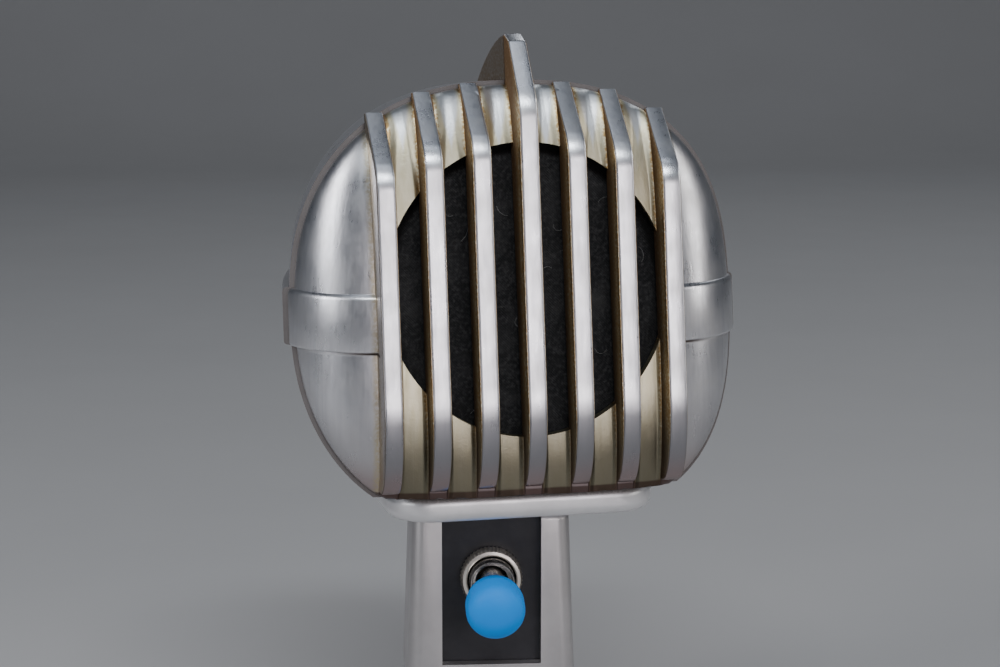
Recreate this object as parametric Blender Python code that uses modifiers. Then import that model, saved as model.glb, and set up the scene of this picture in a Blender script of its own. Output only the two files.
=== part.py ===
"""Ribbon microphone: a ribbed die-cast head that tilts on a saddle and swivels on a switch neck.

Metres, +Z up. The front faces -Y. The origin is the centre of the stand socket's bottom face.
Head pieces are drawn in the head's own frame: X to the side, Y backwards from the seam plane of the
two shells, Z up from the middle of the belt. The shells lean back by RAKE (a shear along Y).
"""
import math

import bmesh
import bpy
from mathutils import Matrix, Vector

MM = 0.001
GAP = 0.3 * MM                 # clearance between touching pieces

# ---- placing of the head on the neck
BELT_Z = 102.0 * MM            # middle of the belt above the stand socket
PAN_Y = 31.0 * MM              # swivel axis behind the seam plane
TILT_Z = 79.0 * MM             # height of the tilt pivot
HEAD_YAW = math.radians(9.0)   # the head is swivelled a little on the neck
RAKE = 0.15                    # lean of the shells, Y per unit Z
SWEEP_START = 25.0 * MM        # the cheeks sweep back outside this, with the cube of the distance
SWEEP = 1000.0

# ---- shells
HALF_W = 42.6 * MM
TOP_H = 42.9 * MM
LOW_H = 40.0 * MM
BASE_Z = -33.2 * MM            # flat bottom of the shells
OUTLINE_POWER = 2.45
WALL = 2.0 * MM
SEAM = 0.15 * MM               # each shell stops this far from the seam plane
FRONT_DEPTH = 7.2 * MM
FRONT_FLAT = 6.0 * MM          # floor between the ribs
FRONT_POWER = 2.4
REAR_DEPTH = 60.0 * MM
REAR_POWER = 3.4
REAR_PROUD = 0.8 * MM          # the rear shell's rim stands outside the front's
REAR_TAPER = 0.16              # the rear shell narrows towards the back
TOP_TAPER = 0.10               # and gets lower on top
OPENING_R = 27.3 * MM
OPENING_Z = 5.3 * MM

# ---- ribs
RIB_PITCH = 9.07 * MM
RIB_T = 3.64 * MM
RIB_FRONT = 11.3 * MM          # face of the ribs in front of the seam
RIB_LOW_BEND = -14.2 * MM
RIB_TOP_BENDS = {0: 40.2 * MM, 1: 32.6 * MM, 2: 30.8 * MM, 3: 27.6 * MM}
RIB_END_Y = 3.5 * MM
RIB_BACK = 0.33 * MM           # ribs and belt stop just short of the rim's face
FIN_TIP_Y = 3.6 * MM
FIN_TIP_Z = 52.0 * MM
FIN_LENGTH = 27.0 * MM         # the fin runs this far back along the rear shell

# ---- belt
BELT_HALF = 5.4 * MM
BELT_PROUD = 1.1 * MM

# ---- shell screws
SHELL_SCREW_X = 27.5 * MM
SCREW_SEAT = 45.4 * MM
BOSS_FRONT = 37.0 * MM
BOSS_BACK = 46.5 * MM

# ---- saddle
PLATE_W = 52.4 * MM
PLATE_FRONT = -6.5 * MM
PLATE_BACK = 47.0 * MM
PLATE_TOP = -33.5 * MM
PLATE_T = 5.2 * MM
SLOT_W = 9.4 * MM
SLOT_L = 17.4 * MM
SCREW_X = 10.0 * MM            # saddle screws from the swivel axis
SCREW_Y = 6.4 * MM
CORNERS = ((-1, -1), (1, -1), (-1, 1), (1, 1))

# ---- neck
NECK_TOP = 59.0 * MM
NECK_LOW = 22.0 * MM
NECK_W_TOP = 31.2 * MM
NECK_W_LOW = 34.0 * MM
NECK_FRONT = -17.0 * MM
NECK_BACK = 13.0 * MM
NECK_WALL = 2.6 * MM
NECK_LID = 6.0 * MM            # thick top wall that carries the swivel
WINDOW_W = 19.8 * MM
WINDOW_LOW = 28.5 * MM         # the window is open at the top
BOARD_LOW = 25.6 * MM
BOARD_TOP = 58.6 * MM
FLANGE_R = 9.4 * MM           # swivel post's flange, held down by a threaded ring
HUB_R = 6.9 * MM
RING_R = 10.9 * MM

# ---- toggle switch
TOGGLE_Z = 46.0 * MM
TOGGLE_PIVOT_Y = -16.2 * MM
ROCKER_Y = -7.2 * MM
ROCKER_REST = math.radians(-7.8)
LEVER_REST = math.radians(-13.0)
NUT_R = 6.2 * MM
CAP_R = 5.8 * MM

# ---- stand coupler and inlet
SOCKET_R = 7.94 * MM
SOCKET_DEPTH = 15.0 * MM
COUPLER_R = 14.0 * MM
INLET_Z = 38.0 * MM

parts = None
cutters = None
materials = {}


def clear_scene():
    for obj in list(bpy.data.objects):
        bpy.data.objects.remove(obj, do_unlink=True)
    for mesh in list(bpy.data.meshes):
        bpy.data.meshes.remove(mesh)


def make_collections():
    global parts, cutters
    parts = bpy.data.collections.new("ribbon_microphone")
    cutters = bpy.data.collections.new("cutters")
    bpy.context.scene.collection.children.link(parts)
    bpy.context.scene.collection.children.link(cutters)


def material(name, colour, roughness, metallic):
    if name not in materials:
        mat = bpy.data.materials.new(name)
        mat.use_nodes = True
        shader = mat.node_tree.nodes["Principled BSDF"]
        shader.inputs["Base Color"].default_value = (*colour, 1.0)
        shader.inputs["Roughness"].default_value = roughness
        shader.inputs["Metallic"].default_value = metallic
        materials[name] = mat
    return materials[name]


def cast_metal():
    return material("cast_aluminium", (0.60, 0.60, 0.62), 0.34, 1.0)


def steel():
    return material("plated_steel", (0.56, 0.55, 0.53), 0.30, 1.0)


def brass():
    return material("brass", (0.70, 0.52, 0.24), 0.35, 1.0)


def cloth_black():
    return material("black_cloth", (0.012, 0.012, 0.013), 0.95, 0.0)


def black_board():
    return material("black_board", (0.018, 0.017, 0.020), 0.55, 0.0)


def blue_plastic():
    return material("blue_plastic", (0.006, 0.29, 0.72), 0.32, 0.0)


def magnet_iron():
    return material("magnet_iron", (0.16, 0.16, 0.17), 0.55, 1.0)


def foil():
    return material("ribbon_foil", (0.80, 0.80, 0.81), 0.28, 1.0)


def rubber():
    return material("rubber", (0.03, 0.03, 0.03), 0.85, 0.0)


def enamel_wire():
    return material("winding", (0.40, 0.13, 0.05), 0.45, 0.0)


def phenolic():
    return material("phenolic", (0.20, 0.09, 0.035), 0.50, 0.0)


# ---------------------------------------------------------------- mesh helpers
def finish(bm, name, mat, parent=None, location=(0, 0, 0), cutter=False, smooth=None):
    bmesh.ops.recalc_face_normals(bm, faces=bm.faces)
    mesh = bpy.data.meshes.new(name)
    bm.to_mesh(mesh)
    bm.free()
    if smooth is not None:
        mesh.shade_smooth()
        mesh.set_sharp_from_angle(angle=math.radians(smooth))
    if mat is not None:
        mesh.materials.append(mat)
    obj = bpy.data.objects.new(name, mesh)
    (cutters if cutter else parts).objects.link(obj)
    obj.parent = parent
    obj.location = location
    if cutter:
        obj.hide_render = True
        obj.display_type = 'WIRE'
    return obj


def combined(pieces):
    """Several separate shapes as one mesh, used as one cutter or one set of joined ribs."""
    total = bmesh.new()
    for piece in pieces:
        mesh = bpy.data.meshes.new("piece")
        bmesh.ops.recalc_face_normals(piece, faces=piece.faces)
        piece.to_mesh(mesh)
        piece.free()
        total.from_mesh(mesh)
        bpy.data.meshes.remove(mesh)
    return total


def box_bm(size, centre):
    bm = bmesh.new()
    bmesh.ops.create_cube(bm, size=1.0)
    bmesh.ops.scale(bm, vec=Vector(size), verts=bm.verts)
    bmesh.ops.translate(bm, vec=Vector(centre), verts=bm.verts)
    return bm


def cylinder_bm(radius, low, high, axis='Z', centre=(0, 0), segments=32):
    """A cylinder between two heights along an axis; centre is in the other two axes."""
    bm = bmesh.new()
    bmesh.ops.create_cone(bm, cap_ends=True, segments=segments, radius1=radius, radius2=radius,
                          depth=high - low)
    bmesh.ops.translate(bm, vec=(0, 0, (low + high) / 2), verts=bm.verts)
    if axis == 'Y':
        bmesh.ops.rotate(bm, matrix=Matrix.Rotation(math.radians(-90), 3, 'X'), verts=bm.verts)
        offset = (centre[0], 0, centre[1])
    elif axis == 'X':
        bmesh.ops.rotate(bm, matrix=Matrix.Rotation(math.radians(90), 3, 'Y'), verts=bm.verts)
        offset = (0, centre[0], centre[1])
    else:
        offset = (centre[0], centre[1], 0)
    bmesh.ops.translate(bm, vec=offset, verts=bm.verts)
    return bm


def prism_bm(points, low, high, axis='X'):
    """Extrude a closed outline of pairs along an axis. X takes (y, z), Y takes (x, z), Z takes (x, y)."""
    bm = bmesh.new()
    place = {'X': lambda p, t: (t, p[0], p[1]),
             'Y': lambda p, t: (p[0], t, p[1]),
             'Z': lambda p, t: (p[0], p[1], t)}[axis]
    ring = [bm.verts.new(place(p, low)) for p in points]
    face = bm.faces.new(ring)
    grown = bmesh.ops.extrude_face_region(bm, geom=[face])
    moved = [v for v in grown["geom"] if isinstance(v, bmesh.types.BMVert)]
    shift = {'X': (high - low, 0, 0), 'Y': (0, high - low, 0), 'Z': (0, 0, high - low)}[axis]
    bmesh.ops.translate(bm, vec=shift, verts=moved)
    bmesh.ops.recalc_face_normals(bm, faces=bm.faces)
    return bm


def bevel(obj, width, segments=2, angle=35.0):
    mod = obj.modifiers.new("edge_bevel", 'BEVEL')
    mod.width = width
    mod.segments = segments
    mod.limit_method = 'ANGLE'
    mod.angle_limit = math.radians(angle)
    mod.use_clamp_overlap = True
    return mod


def chamfer_where(bm, width, chosen):
    """Chamfer the edges whose ends both pass a test."""
    edges = [e for e in bm.edges if all(chosen(v.co) for v in e.verts)]
    edges = [e for e in edges if len(e.link_faces) == 2 and e.calc_face_angle() > math.radians(50)]
    bmesh.ops.bevel(bm, geom=edges, offset=width, offset_type='OFFSET', segments=1, profile=0.5,
                    affect='EDGES', clamp_overlap=True)
    return bm


def boolean(obj, other, operation='DIFFERENCE'):
    mod = obj.modifiers.new(operation.lower() + "_" + other.name, 'BOOLEAN')
    mod.operation = operation
    mod.solver = 'EXACT'
    mod.object = other
    return mod


def cut_with(obj, bm, name, parent=None, location=(0, 0, 0)):
    return boolean(obj, finish(bm, name, None, parent, location, cutter=True))


def join_with(obj, bm, name, parent=None, location=(0, 0, 0), bevel_width=0.0, segments=2):
    tool = finish(bm, name, None, parent, location, cutter=True)
    if bevel_width:
        bevel(tool, bevel_width, segments)
    return boolean(obj, tool, 'UNION')


def rounded_rect(width, depth, radius, centre=(0, 0), steps=5):
    points = []
    for sx, sy, start in ((1, 1, 0), (-1, 1, 90), (-1, -1, 180), (1, -1, 270)):
        cx = centre[0] + sx * (width / 2 - radius)
        cy = centre[1] + sy * (depth / 2 - radius)
        for k in range(steps + 1):
            angle = math.radians(start + 90.0 * k / steps)
            points.append((cx + radius * math.cos(angle), cy + radius * math.sin(angle)))
    return points


def lean(bm):
    """Lean the shells' geometry back with height and sweep its sides back."""
    for vert in bm.verts:
        outside = max(0.0, abs(vert.co.x) - SWEEP_START)
        vert.co.y += RAKE * vert.co.z + SWEEP * outside ** 3


def turned(name, profile, mat, parent=None, location=(0, 0, 0), segments=32, tilt=None, cutter=False):
    """A turned solid: the profile of (radius, height) pairs runs down the outer side from top to bottom."""
    bm = bmesh.new()
    verts = [bm.verts.new((r, 0, z)) for r, z in profile]
    for a, b in zip(verts, verts[1:]):
        bm.edges.new((a, b))
    mesh = bpy.data.meshes.new(name)
    bm.to_mesh(mesh)
    bm.free()
    if mat is not None:
        mesh.materials.append(mat)
    obj = bpy.data.objects.new(name, mesh)
    (cutters if cutter else parts).objects.link(obj)
    mod = obj.modifiers.new("turn", 'SCREW')
    mod.axis = 'Z'
    mod.angle = math.tau
    mod.steps = segments
    mod.render_steps = segments
    mod.use_merge_vertices = True
    mod.merge_threshold = 0.00001
    mod.use_smooth_shade = True
    if cutter:
        obj.hide_render = True
        obj.display_type = 'WIRE'
    obj.parent = parent
    obj.location = location
    if tilt is not None:
        obj.rotation_euler = tilt
    return obj


# ---------------------------------------------------------------- the shells' surface
def outline(angle, proud=0.0):
    """Rim of the shells at an angle round the seam plane, before the flat bottom is cut."""
    c, s = math.cos(angle), math.sin(angle)
    height = (TOP_H if s >= 0 else LOW_H) + proud
    reach = (abs(c / (HALF_W + proud)) ** OUTLINE_POWER + abs(s / height) ** OUTLINE_POWER)
    radius = reach ** (-1.0 / OUTLINE_POWER)
    return radius * c, radius * s


def radial(x, z, proud=0.0):
    height = (TOP_H if z >= 0 else LOW_H) + proud
    total = abs(x / (HALF_W + proud)) ** OUTLINE_POWER + abs(z / height) ** OUTLINE_POWER
    return total ** (1.0 / OUTLINE_POWER)


def dome(r, depth, power):
    return depth * max(0.0, 1.0 - r ** power) ** (1.0 / power)


def front_depth(x, z):
    return min(dome(radial(x, z), FRONT_DEPTH, FRONT_POWER), FRONT_FLAT)


def side_taper(y):
    return 1.0 - REAR_TAPER * y / REAR_DEPTH


def top_taper(y):
    return 1.0 - TOP_TAPER * y / REAR_DEPTH


def shell_surface(depth, power, side, proud, flat, around, rings):
    """One closed half shell: an outer and an inner dome joined by a rim at the seam plane."""
    bm = bmesh.new()
    skins = []
    for thickness in (0.0, WALL):
        grid = []
        for k in range(rings + 1):
            r = math.sin(math.radians(90.0 * k / rings))
            y = dome(r, depth - thickness, power)
            y = max(0.0, min(y, flat - thickness))
            row = []
            count = 1 if k == 0 else around
            for j in range(count):
                x, z = outline(math.tau * (j + 0.5) / around, proud - thickness)
                x, z = x * r, max(z * r, BASE_Z + thickness)
                if side > 0:
                    x, z = x * side_taper(y), z * (top_taper(y) if z > 0 else 1.0)
                row.append(bm.verts.new((x, side * (y + SEAM), z)))
            grid.append(row)
        skins.append(grid)
        for k in range(rings):
            for j in range(around):
                n = (j + 1) % around
                if k == 0:
                    bm.faces.new((grid[0][0], grid[1][j], grid[1][n]))
                else:
                    bm.faces.new((grid[k][j], grid[k + 1][j], grid[k + 1][n], grid[k][n]))
    outer, inner = skins[0][rings], skins[1][rings]
    for j in range(around):
        n = (j + 1) % around
        bm.faces.new((outer[j], inner[j], inner[n], outer[n]))
    bmesh.ops.recalc_face_normals(bm, faces=bm.faces)
    return bm


def arc(corner, before, after, radius, steps=4):
    """Points of a rounded corner between two neighbours."""
    c, a, b = Vector(corner), Vector(before), Vector(after)
    u, v = (a - c).normalized(), (b - c).normalized()
    half = u.angle(v) / 2
    reach = radius / math.tan(half)
    centre = c + (u + v).normalized() * (radius / math.sin(half))
    start, end = c + u * reach, c + v * reach
    points = []
    for k in range(steps + 1):
        t = k / steps
        d = ((start - centre) * (1 - t) + (end - centre) * t).normalized() * radius
        points.append(tuple(centre + d))
    return points


def rib_profile(index):
    """Side view of one rib as (y, z) pairs, front edge first, then back inside the wall."""
    x = index * RIB_PITCH
    top_bend = RIB_TOP_BENDS[abs(index)]
    rim = outline(math.pi / 2)[1]
    inner = max(0.0, abs(x) - RIB_T / 2)
    rim_z = TOP_H * (1.0 - (inner / HALF_W) ** OUTLINE_POWER) ** (1.0 / OUTLINE_POWER)
    points = []
    for k in range(8):
        t = 1.0 - k / 8.0
        swell = max(0.0, 1.0 - t ** 2.2) ** (1 / 2.2)
        y = -RIB_END_Y - (RIB_FRONT - RIB_END_Y) * swell
        points.append((y, RIB_LOW_BEND + t * (BASE_Z + 0.25 * MM - RIB_LOW_BEND)))
    points.append((-RIB_FRONT, RIB_LOW_BEND + 1.5 * MM))
    corner = (-RIB_FRONT, top_bend)
    if index == 0:
        tip = (-FIN_TIP_Y, FIN_TIP_Z - 0.8 * MM)
        points += arc(corner, (-RIB_FRONT, 0), tip, 9 * MM)
        points += [tip, (-FIN_TIP_Y + 0.7 * MM, FIN_TIP_Z)]
        points += [(-RIB_BACK, FIN_TIP_Z + 0.4 * MM), (-RIB_BACK, rim - 1.2 * MM)]
    else:
        end = (-0.6 * MM, rim_z + 0.25 * MM)
        points += arc(corner, (-RIB_FRONT, 0), end, 7 * MM)
        points += [end, (-RIB_BACK, rim_z - 0.1 * MM), (-RIB_BACK, rim_z - 1.0 * MM)]
    steps = 9
    start, stop = points[-1][1] - 1.5 * MM, BASE_Z + 3.0 * MM
    for k in range(steps + 1):
        z = start + (stop - start) * k / steps
        points.append((-max(front_depth(x, z) - 0.9 * MM, RIB_BACK), z))
    return points


def belt_section(depth, power, proud, start_x, side, flat):
    """Top view of one arm of the belt, from the rib or grille out to the seam."""
    outer = []
    inner = []
    steps = 7
    for k in range(steps + 1):
        t = k / steps
        x = start_x + (HALF_W + proud - start_x) * math.sin(math.radians(90 * t))
        r = min(1.0, x / (HALF_W + proud))
        y = min(dome(r, depth, power), flat)
        slope = Vector((x, y * (HALF_W / depth))).normalized()
        narrow = side_taper(y) if side > 0 else 1.0
        reach = (x + BELT_PROUD * slope.x) * narrow
        outer.append((reach, side * (y + RIB_BACK + BELT_PROUD * (1 - r) * 1.6)))
        inner.append(((x - 1.0 * MM * r) * narrow, side * max(RIB_BACK, y + RIB_BACK - 1.0 * MM)))
    inner.reverse()
    return outer + inner


def mirrored(points):
    return [(-x, y) for x, y in reversed(points)]


def belt_bm(section, depth, power, proud):
    """Both arms of the belt, their outer edges chamfered."""
    def outside(co):
        wide = (HALF_W + proud) * (side_taper(abs(co.y)) if proud else 1.0)
        return abs(co.x / wide) ** power + abs(co.y / depth) ** power > 1.01

    arms = []
    for points in (section, mirrored(section)):
        arm = prism_bm(points, -BELT_HALF, BELT_HALF, 'Z')
        arms.append(chamfer_where(arm, 0.7 * MM, outside))
    bm = combined(arms)
    lean(bm)
    return bm


# ---------------------------------------------------------------- head pieces
def build_front_shell(head):
    bm = shell_surface(FRONT_DEPTH, FRONT_POWER, -1, 0.0, FRONT_FLAT, 50, 7)
    lean(bm)
    shell = finish(bm, "front_shell", cast_metal(), *head, smooth=30)
    cut_with(shell, cylinder_bm(OPENING_R, -20 * MM, 20 * MM, 'Y', (0, OPENING_Z), 56), "opening", *head)
    ribs = []
    for index in range(-3, 4):
        x = index * RIB_PITCH
        rib = prism_bm(rib_profile(index), x - RIB_T / 2, x + RIB_T / 2)
        ribs.append(chamfer_where(rib, 0.45 * MM, lambda co: -co.y > front_depth(co.x, co.z) + 0.35 * MM))
    bm = combined(ribs)
    lean(bm)
    join_with(shell, bm, "ribs", *head).solver = 'MANIFOLD'
    section = belt_section(FRONT_DEPTH, FRONT_POWER, 0.0, 28.2 * MM, -1, FRONT_FLAT)
    join_with(shell, belt_bm(section, FRONT_DEPTH, FRONT_POWER, 0.0), "front_belt", *head).solver = 'MANIFOLD'
    return shell


def build_rear_shell(head):
    bm = shell_surface(REAR_DEPTH, REAR_POWER, 1, REAR_PROUD, REAR_DEPTH, 50, 8)
    lean(bm)
    shell = finish(bm, "rear_shell", cast_metal(), *head, smooth=30)
    fin = []
    steps = 8
    for k in range(steps + 1):
        t = k / steps
        y = SEAM + FIN_LENGTH * t
        r = (1.0 - (y / REAR_DEPTH) ** REAR_POWER) ** (1.0 / REAR_POWER)
        skin = (TOP_H + REAR_PROUD) * r * top_taper(y)
        rise = (FIN_TIP_Z + 0.4 * MM - TOP_H - REAR_PROUD) * (1.0 - t ** 1.6)
        fin.append((y, skin + rise - 0.3 * MM * t))
    for k in range(steps, -1, -1):
        t = k / steps
        y = SEAM + FIN_LENGTH * t
        r = (1.0 - (y / REAR_DEPTH) ** REAR_POWER) ** (1.0 / REAR_POWER)
        fin.append((y, (TOP_H + REAR_PROUD) * r * top_taper(y) - 1.1 * MM))
    bm = prism_bm(fin, -RIB_T / 2, RIB_T / 2)
    lean(bm)
    join_with(shell, bm, "rear_fin", *head, bevel_width=0.45 * MM, segments=1)
    bosses = [cylinder_bm(4.4 * MM, BOSS_FRONT, BOSS_BACK, 'Y', (side * SHELL_SCREW_X, 0.05 * MM), 18)
              for side in (-1, 1)]
    join_with(shell, combined(bosses), "screw_bosses", *head)
    section = belt_section(REAR_DEPTH, REAR_POWER, REAR_PROUD, 27.0 * MM, 1, REAR_DEPTH)
    join_with(shell, belt_bm(section, REAR_DEPTH, REAR_POWER, REAR_PROUD), "rear_belt", *head)
    holes = []
    for index in range(-3, 4):
        x = index * 6.4 * MM
        half = math.sqrt((21.5 * MM) ** 2 - x * x)
        slot = rounded_rect(3.2 * MM, 2 * half, 1.55 * MM, (x + 0.03 * MM, OPENING_Z), 2)
        holes.append(prism_bm(slot, 30 * MM, 70 * MM, 'Y'))
    holes.append(box_bm((SLOT_W + 3 * MM, SLOT_L + 3 * MM, 12 * MM), (0.02 * MM, PAN_Y + 0.01 * MM, BASE_Z)))
    for sx, sy in CORNERS:
        spot = (sx * SCREW_X, PAN_Y + sy * SCREW_Y)
        holes.append(cylinder_bm(1.9 * MM, -38 * MM, -28 * MM, 'Z', spot, 14))
    cut_with(shell, combined(holes), "rear_openings", *head)
    seats = []
    for side in (-1, 1):
        spot = (side * SHELL_SCREW_X, 0.07 * MM)
        seats.append(cylinder_bm(3.4 * MM, SCREW_SEAT, 60 * MM, 'Y', spot, 18))
    cut_with(shell, combined(seats), "screw_seats", *head)
    for side in (-1, 1):
        cut_with(shell, cylinder_bm(1.9 * MM, 20 * MM, 60 * MM, 'Y', (side * SHELL_SCREW_X, 0.07 * MM), 14),
                 "screw_bore_%d" % (side + 1), *head)
    return shell


def disc(name, radius, front, back, z, mat, head, inner=0.0, segments=36):
    bm = cylinder_bm(radius, front, back, 'Y', (0, z), segments)
    lean(bm)
    obj = finish(bm, name, mat, *head, smooth=30)
    if inner:
        bm = cylinder_bm(inner, front - 2 * MM, back + 2 * MM, 'Y', (0, z), segments)
        lean(bm)
        cut_with(obj, bm, name + "_bore", *head)
    return obj


def build_cloths(head):
    disc("front_cloth", 28.4 * MM, -3.3 * MM, -2.6 * MM, OPENING_Z, cloth_black(), head)
    disc("front_cloth_ring", 28.4 * MM, -2.3 * MM, -1.0 * MM, OPENING_Z, brass(), head, 26.4 * MM)
    disc("rear_cloth", 22.0 * MM, 50.2 * MM, 51.0 * MM, OPENING_Z, cloth_black(), head)
    disc("rear_cloth_ring", 22.0 * MM, 48.4 * MM, 49.9 * MM, OPENING_Z, brass(), head, 20.2 * MM)


def build_saddle(head):
    depth = PLATE_BACK - PLATE_FRONT
    middle = (PLATE_BACK + PLATE_FRONT) / 2
    bm = prism_bm(rounded_rect(PLATE_W, depth, 9 * MM, (0, middle), 4), PLATE_TOP - PLATE_T, PLATE_TOP, 'Z')
    plate = finish(bm, "saddle_plate", cast_metal(), *head, smooth=30)
    bevel(plate, 1.6 * MM, 2)
    cut_with(plate, box_bm((SLOT_W, SLOT_L, 20 * MM), (0, PAN_Y, PLATE_TOP)), "saddle_slot", *head)
    for k, (sx, sy) in enumerate(CORNERS):
        spot = (sx * SCREW_X, PAN_Y + sy * SCREW_Y)
        low = PLATE_TOP - PLATE_T
        cut_with(plate, cylinder_bm(1.9 * MM, low - MM, PLATE_TOP + MM, 'Z', spot, 16), "saddle_hole_%d" % k, *head)
        cut_with(plate, cylinder_bm(3.4 * MM, low - MM, low + 2.4 * MM, 'Z', spot, 20), "saddle_sink_%d" % k, *head)
        bm = cylinder_bm(3.1 * MM, low + 0.2 * MM, low + 2.1 * MM, 'Z', spot, 20)
        screw = finish(bm, "saddle_screw_%d" % (k + 1), steel(), *head, smooth=40)
        join_with(screw, cylinder_bm(1.55 * MM, low + 1.6 * MM, -28.3 * MM, 'Z', spot, 14),
                  "saddle_screw_shank_%d" % k, *head)
        cut_with(screw, box_bm((7 * MM, 0.8 * MM, 1.6 * MM), (*spot, low + 0.2 * MM)),
                 "saddle_screw_slot_%d" % k, *head)
    return plate


def build_tilt_bracket(head):
    floor = BASE_Z + WALL + GAP
    pivot = TILT_Z - BELT_Z
    bm = box_bm((26 * MM, 17.6 * MM, 2.0 * MM), (0, PAN_Y - 0.7 * MM, floor + 1.3 * MM))
    bracket = finish(bm, "tilt_bracket", steel(), *head)
    for side in (-1, 1):
        ear = [(PAN_Y - 7 * MM, floor + MM), (PAN_Y + 7 * MM, floor + MM), (PAN_Y + 7 * MM, pivot)]
        ear += [(PAN_Y + 7 * MM * math.cos(a), pivot + 7 * MM * math.sin(a))
                for a in (math.radians(20 * k) for k in range(1, 9))]
        ear += [(PAN_Y - 7 * MM, pivot)]
        low, high = sorted((side * 5.3 * MM, side * 8.1 * MM))
        join_with(bracket, prism_bm(ear, low, high), "ear_%d" % (side + 1), *head)
    cut_with(bracket, box_bm((10.8 * MM, SLOT_L, 8 * MM), (0, PAN_Y, floor)), "bracket_slot", *head)
    cut_with(bracket, cylinder_bm(2.9 * MM, -20 * MM, 20 * MM, 'X', (PAN_Y, pivot), 20),
             "bracket_bore", *head)
    for k, (sx, sy) in enumerate(CORNERS):
        cut_with(bracket, cylinder_bm(1.85 * MM, -40 * MM, -26 * MM, 'Z',
                                      (sx * SCREW_X, PAN_Y + sy * SCREW_Y), 14),
                 "bracket_hole_%d" % k, *head)
    bolt = finish(cylinder_bm(2.5 * MM, -10.6 * MM, 13.4 * MM, 'X', (PAN_Y, pivot), 20),
                  "pivot_bolt", steel(), *head, smooth=40)
    join_with(bolt, cylinder_bm(4.6 * MM, -11.6 * MM, -8.5 * MM, 'X', (PAN_Y, pivot), 24), "bolt_head", *head)
    cut_with(bolt, box_bm((1.8 * MM, 12 * MM, MM), (-11.6 * MM, PAN_Y, pivot)), "bolt_slot", *head)
    nut = finish(cylinder_bm(4.6 * MM, 8.5 * MM, 11.9 * MM, 'X', (PAN_Y, pivot), 6),
                 "pivot_nut", steel(), *head)
    cut_with(nut, cylinder_bm(2.8 * MM, 7 * MM, 14 * MM, 'X', (PAN_Y, pivot), 20), "pivot_nut_bore", *head)
    for name, side in (("l", -1), ("r", 1)):
        low, high = sorted((side * 4.3 * MM, side * 5.0 * MM))
        washer = finish(cylinder_bm(4.6 * MM, low, high, 'X', (PAN_Y, pivot), 24),
                        "friction_washer_" + name, phenolic(), *head, smooth=40)
        cut_with(washer, cylinder_bm(2.85 * MM, -6 * MM, 6 * MM, 'X', (PAN_Y, pivot), 20),
                 "washer_bore_" + name, *head)


def build_shell_screws(head):
    for name, side in (("r", 1), ("l", -1)):
        x = side * SHELL_SCREW_X
        seat = SCREW_SEAT + GAP
        bm = cylinder_bm(3.0 * MM, seat, seat + 2.0 * MM, 'Y', (x, 0), 20)
        screw = finish(bm, "shell_screw_" + name, steel(), *head, smooth=40)
        join_with(screw, cylinder_bm(1.5 * MM, seat - 12 * MM, seat + MM, 'Y', (x, 0), 14),
                  "shell_screw_shank_" + name, *head)
        cut_with(screw, box_bm((0.8 * MM, 1.6 * MM, 8 * MM), (x, seat + 2.2 * MM, 0)),
                 "shell_screw_slot_" + name, *head)


# ---------------------------------------------------------------- ribbon motor
MOTOR_Y = 12.0 * MM
MOTOR_LOW = -16.0 * MM
MOTOR_HIGH = 30.0 * MM
RIBBON_W = 4.6 * MM


def build_ribbon(head):
    pitch = 2.6 * MM
    count = int((MOTOR_HIGH - MOTOR_LOW + 6 * MM) / pitch)
    front = []
    back = []
    for k in range(2 * count + 1):
        z = MOTOR_LOW - 3 * MM + k * pitch / 2
        y = MOTOR_Y + (0.35 * MM if k % 2 else -0.35 * MM)
        front.append((y - 0.08 * MM, z))
        back.append((y + 0.08 * MM, z))
    back.reverse()
    finish(prism_bm(front + back, -RIBBON_W / 2, RIBBON_W / 2), "ribbon", foil(), *head)


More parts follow.
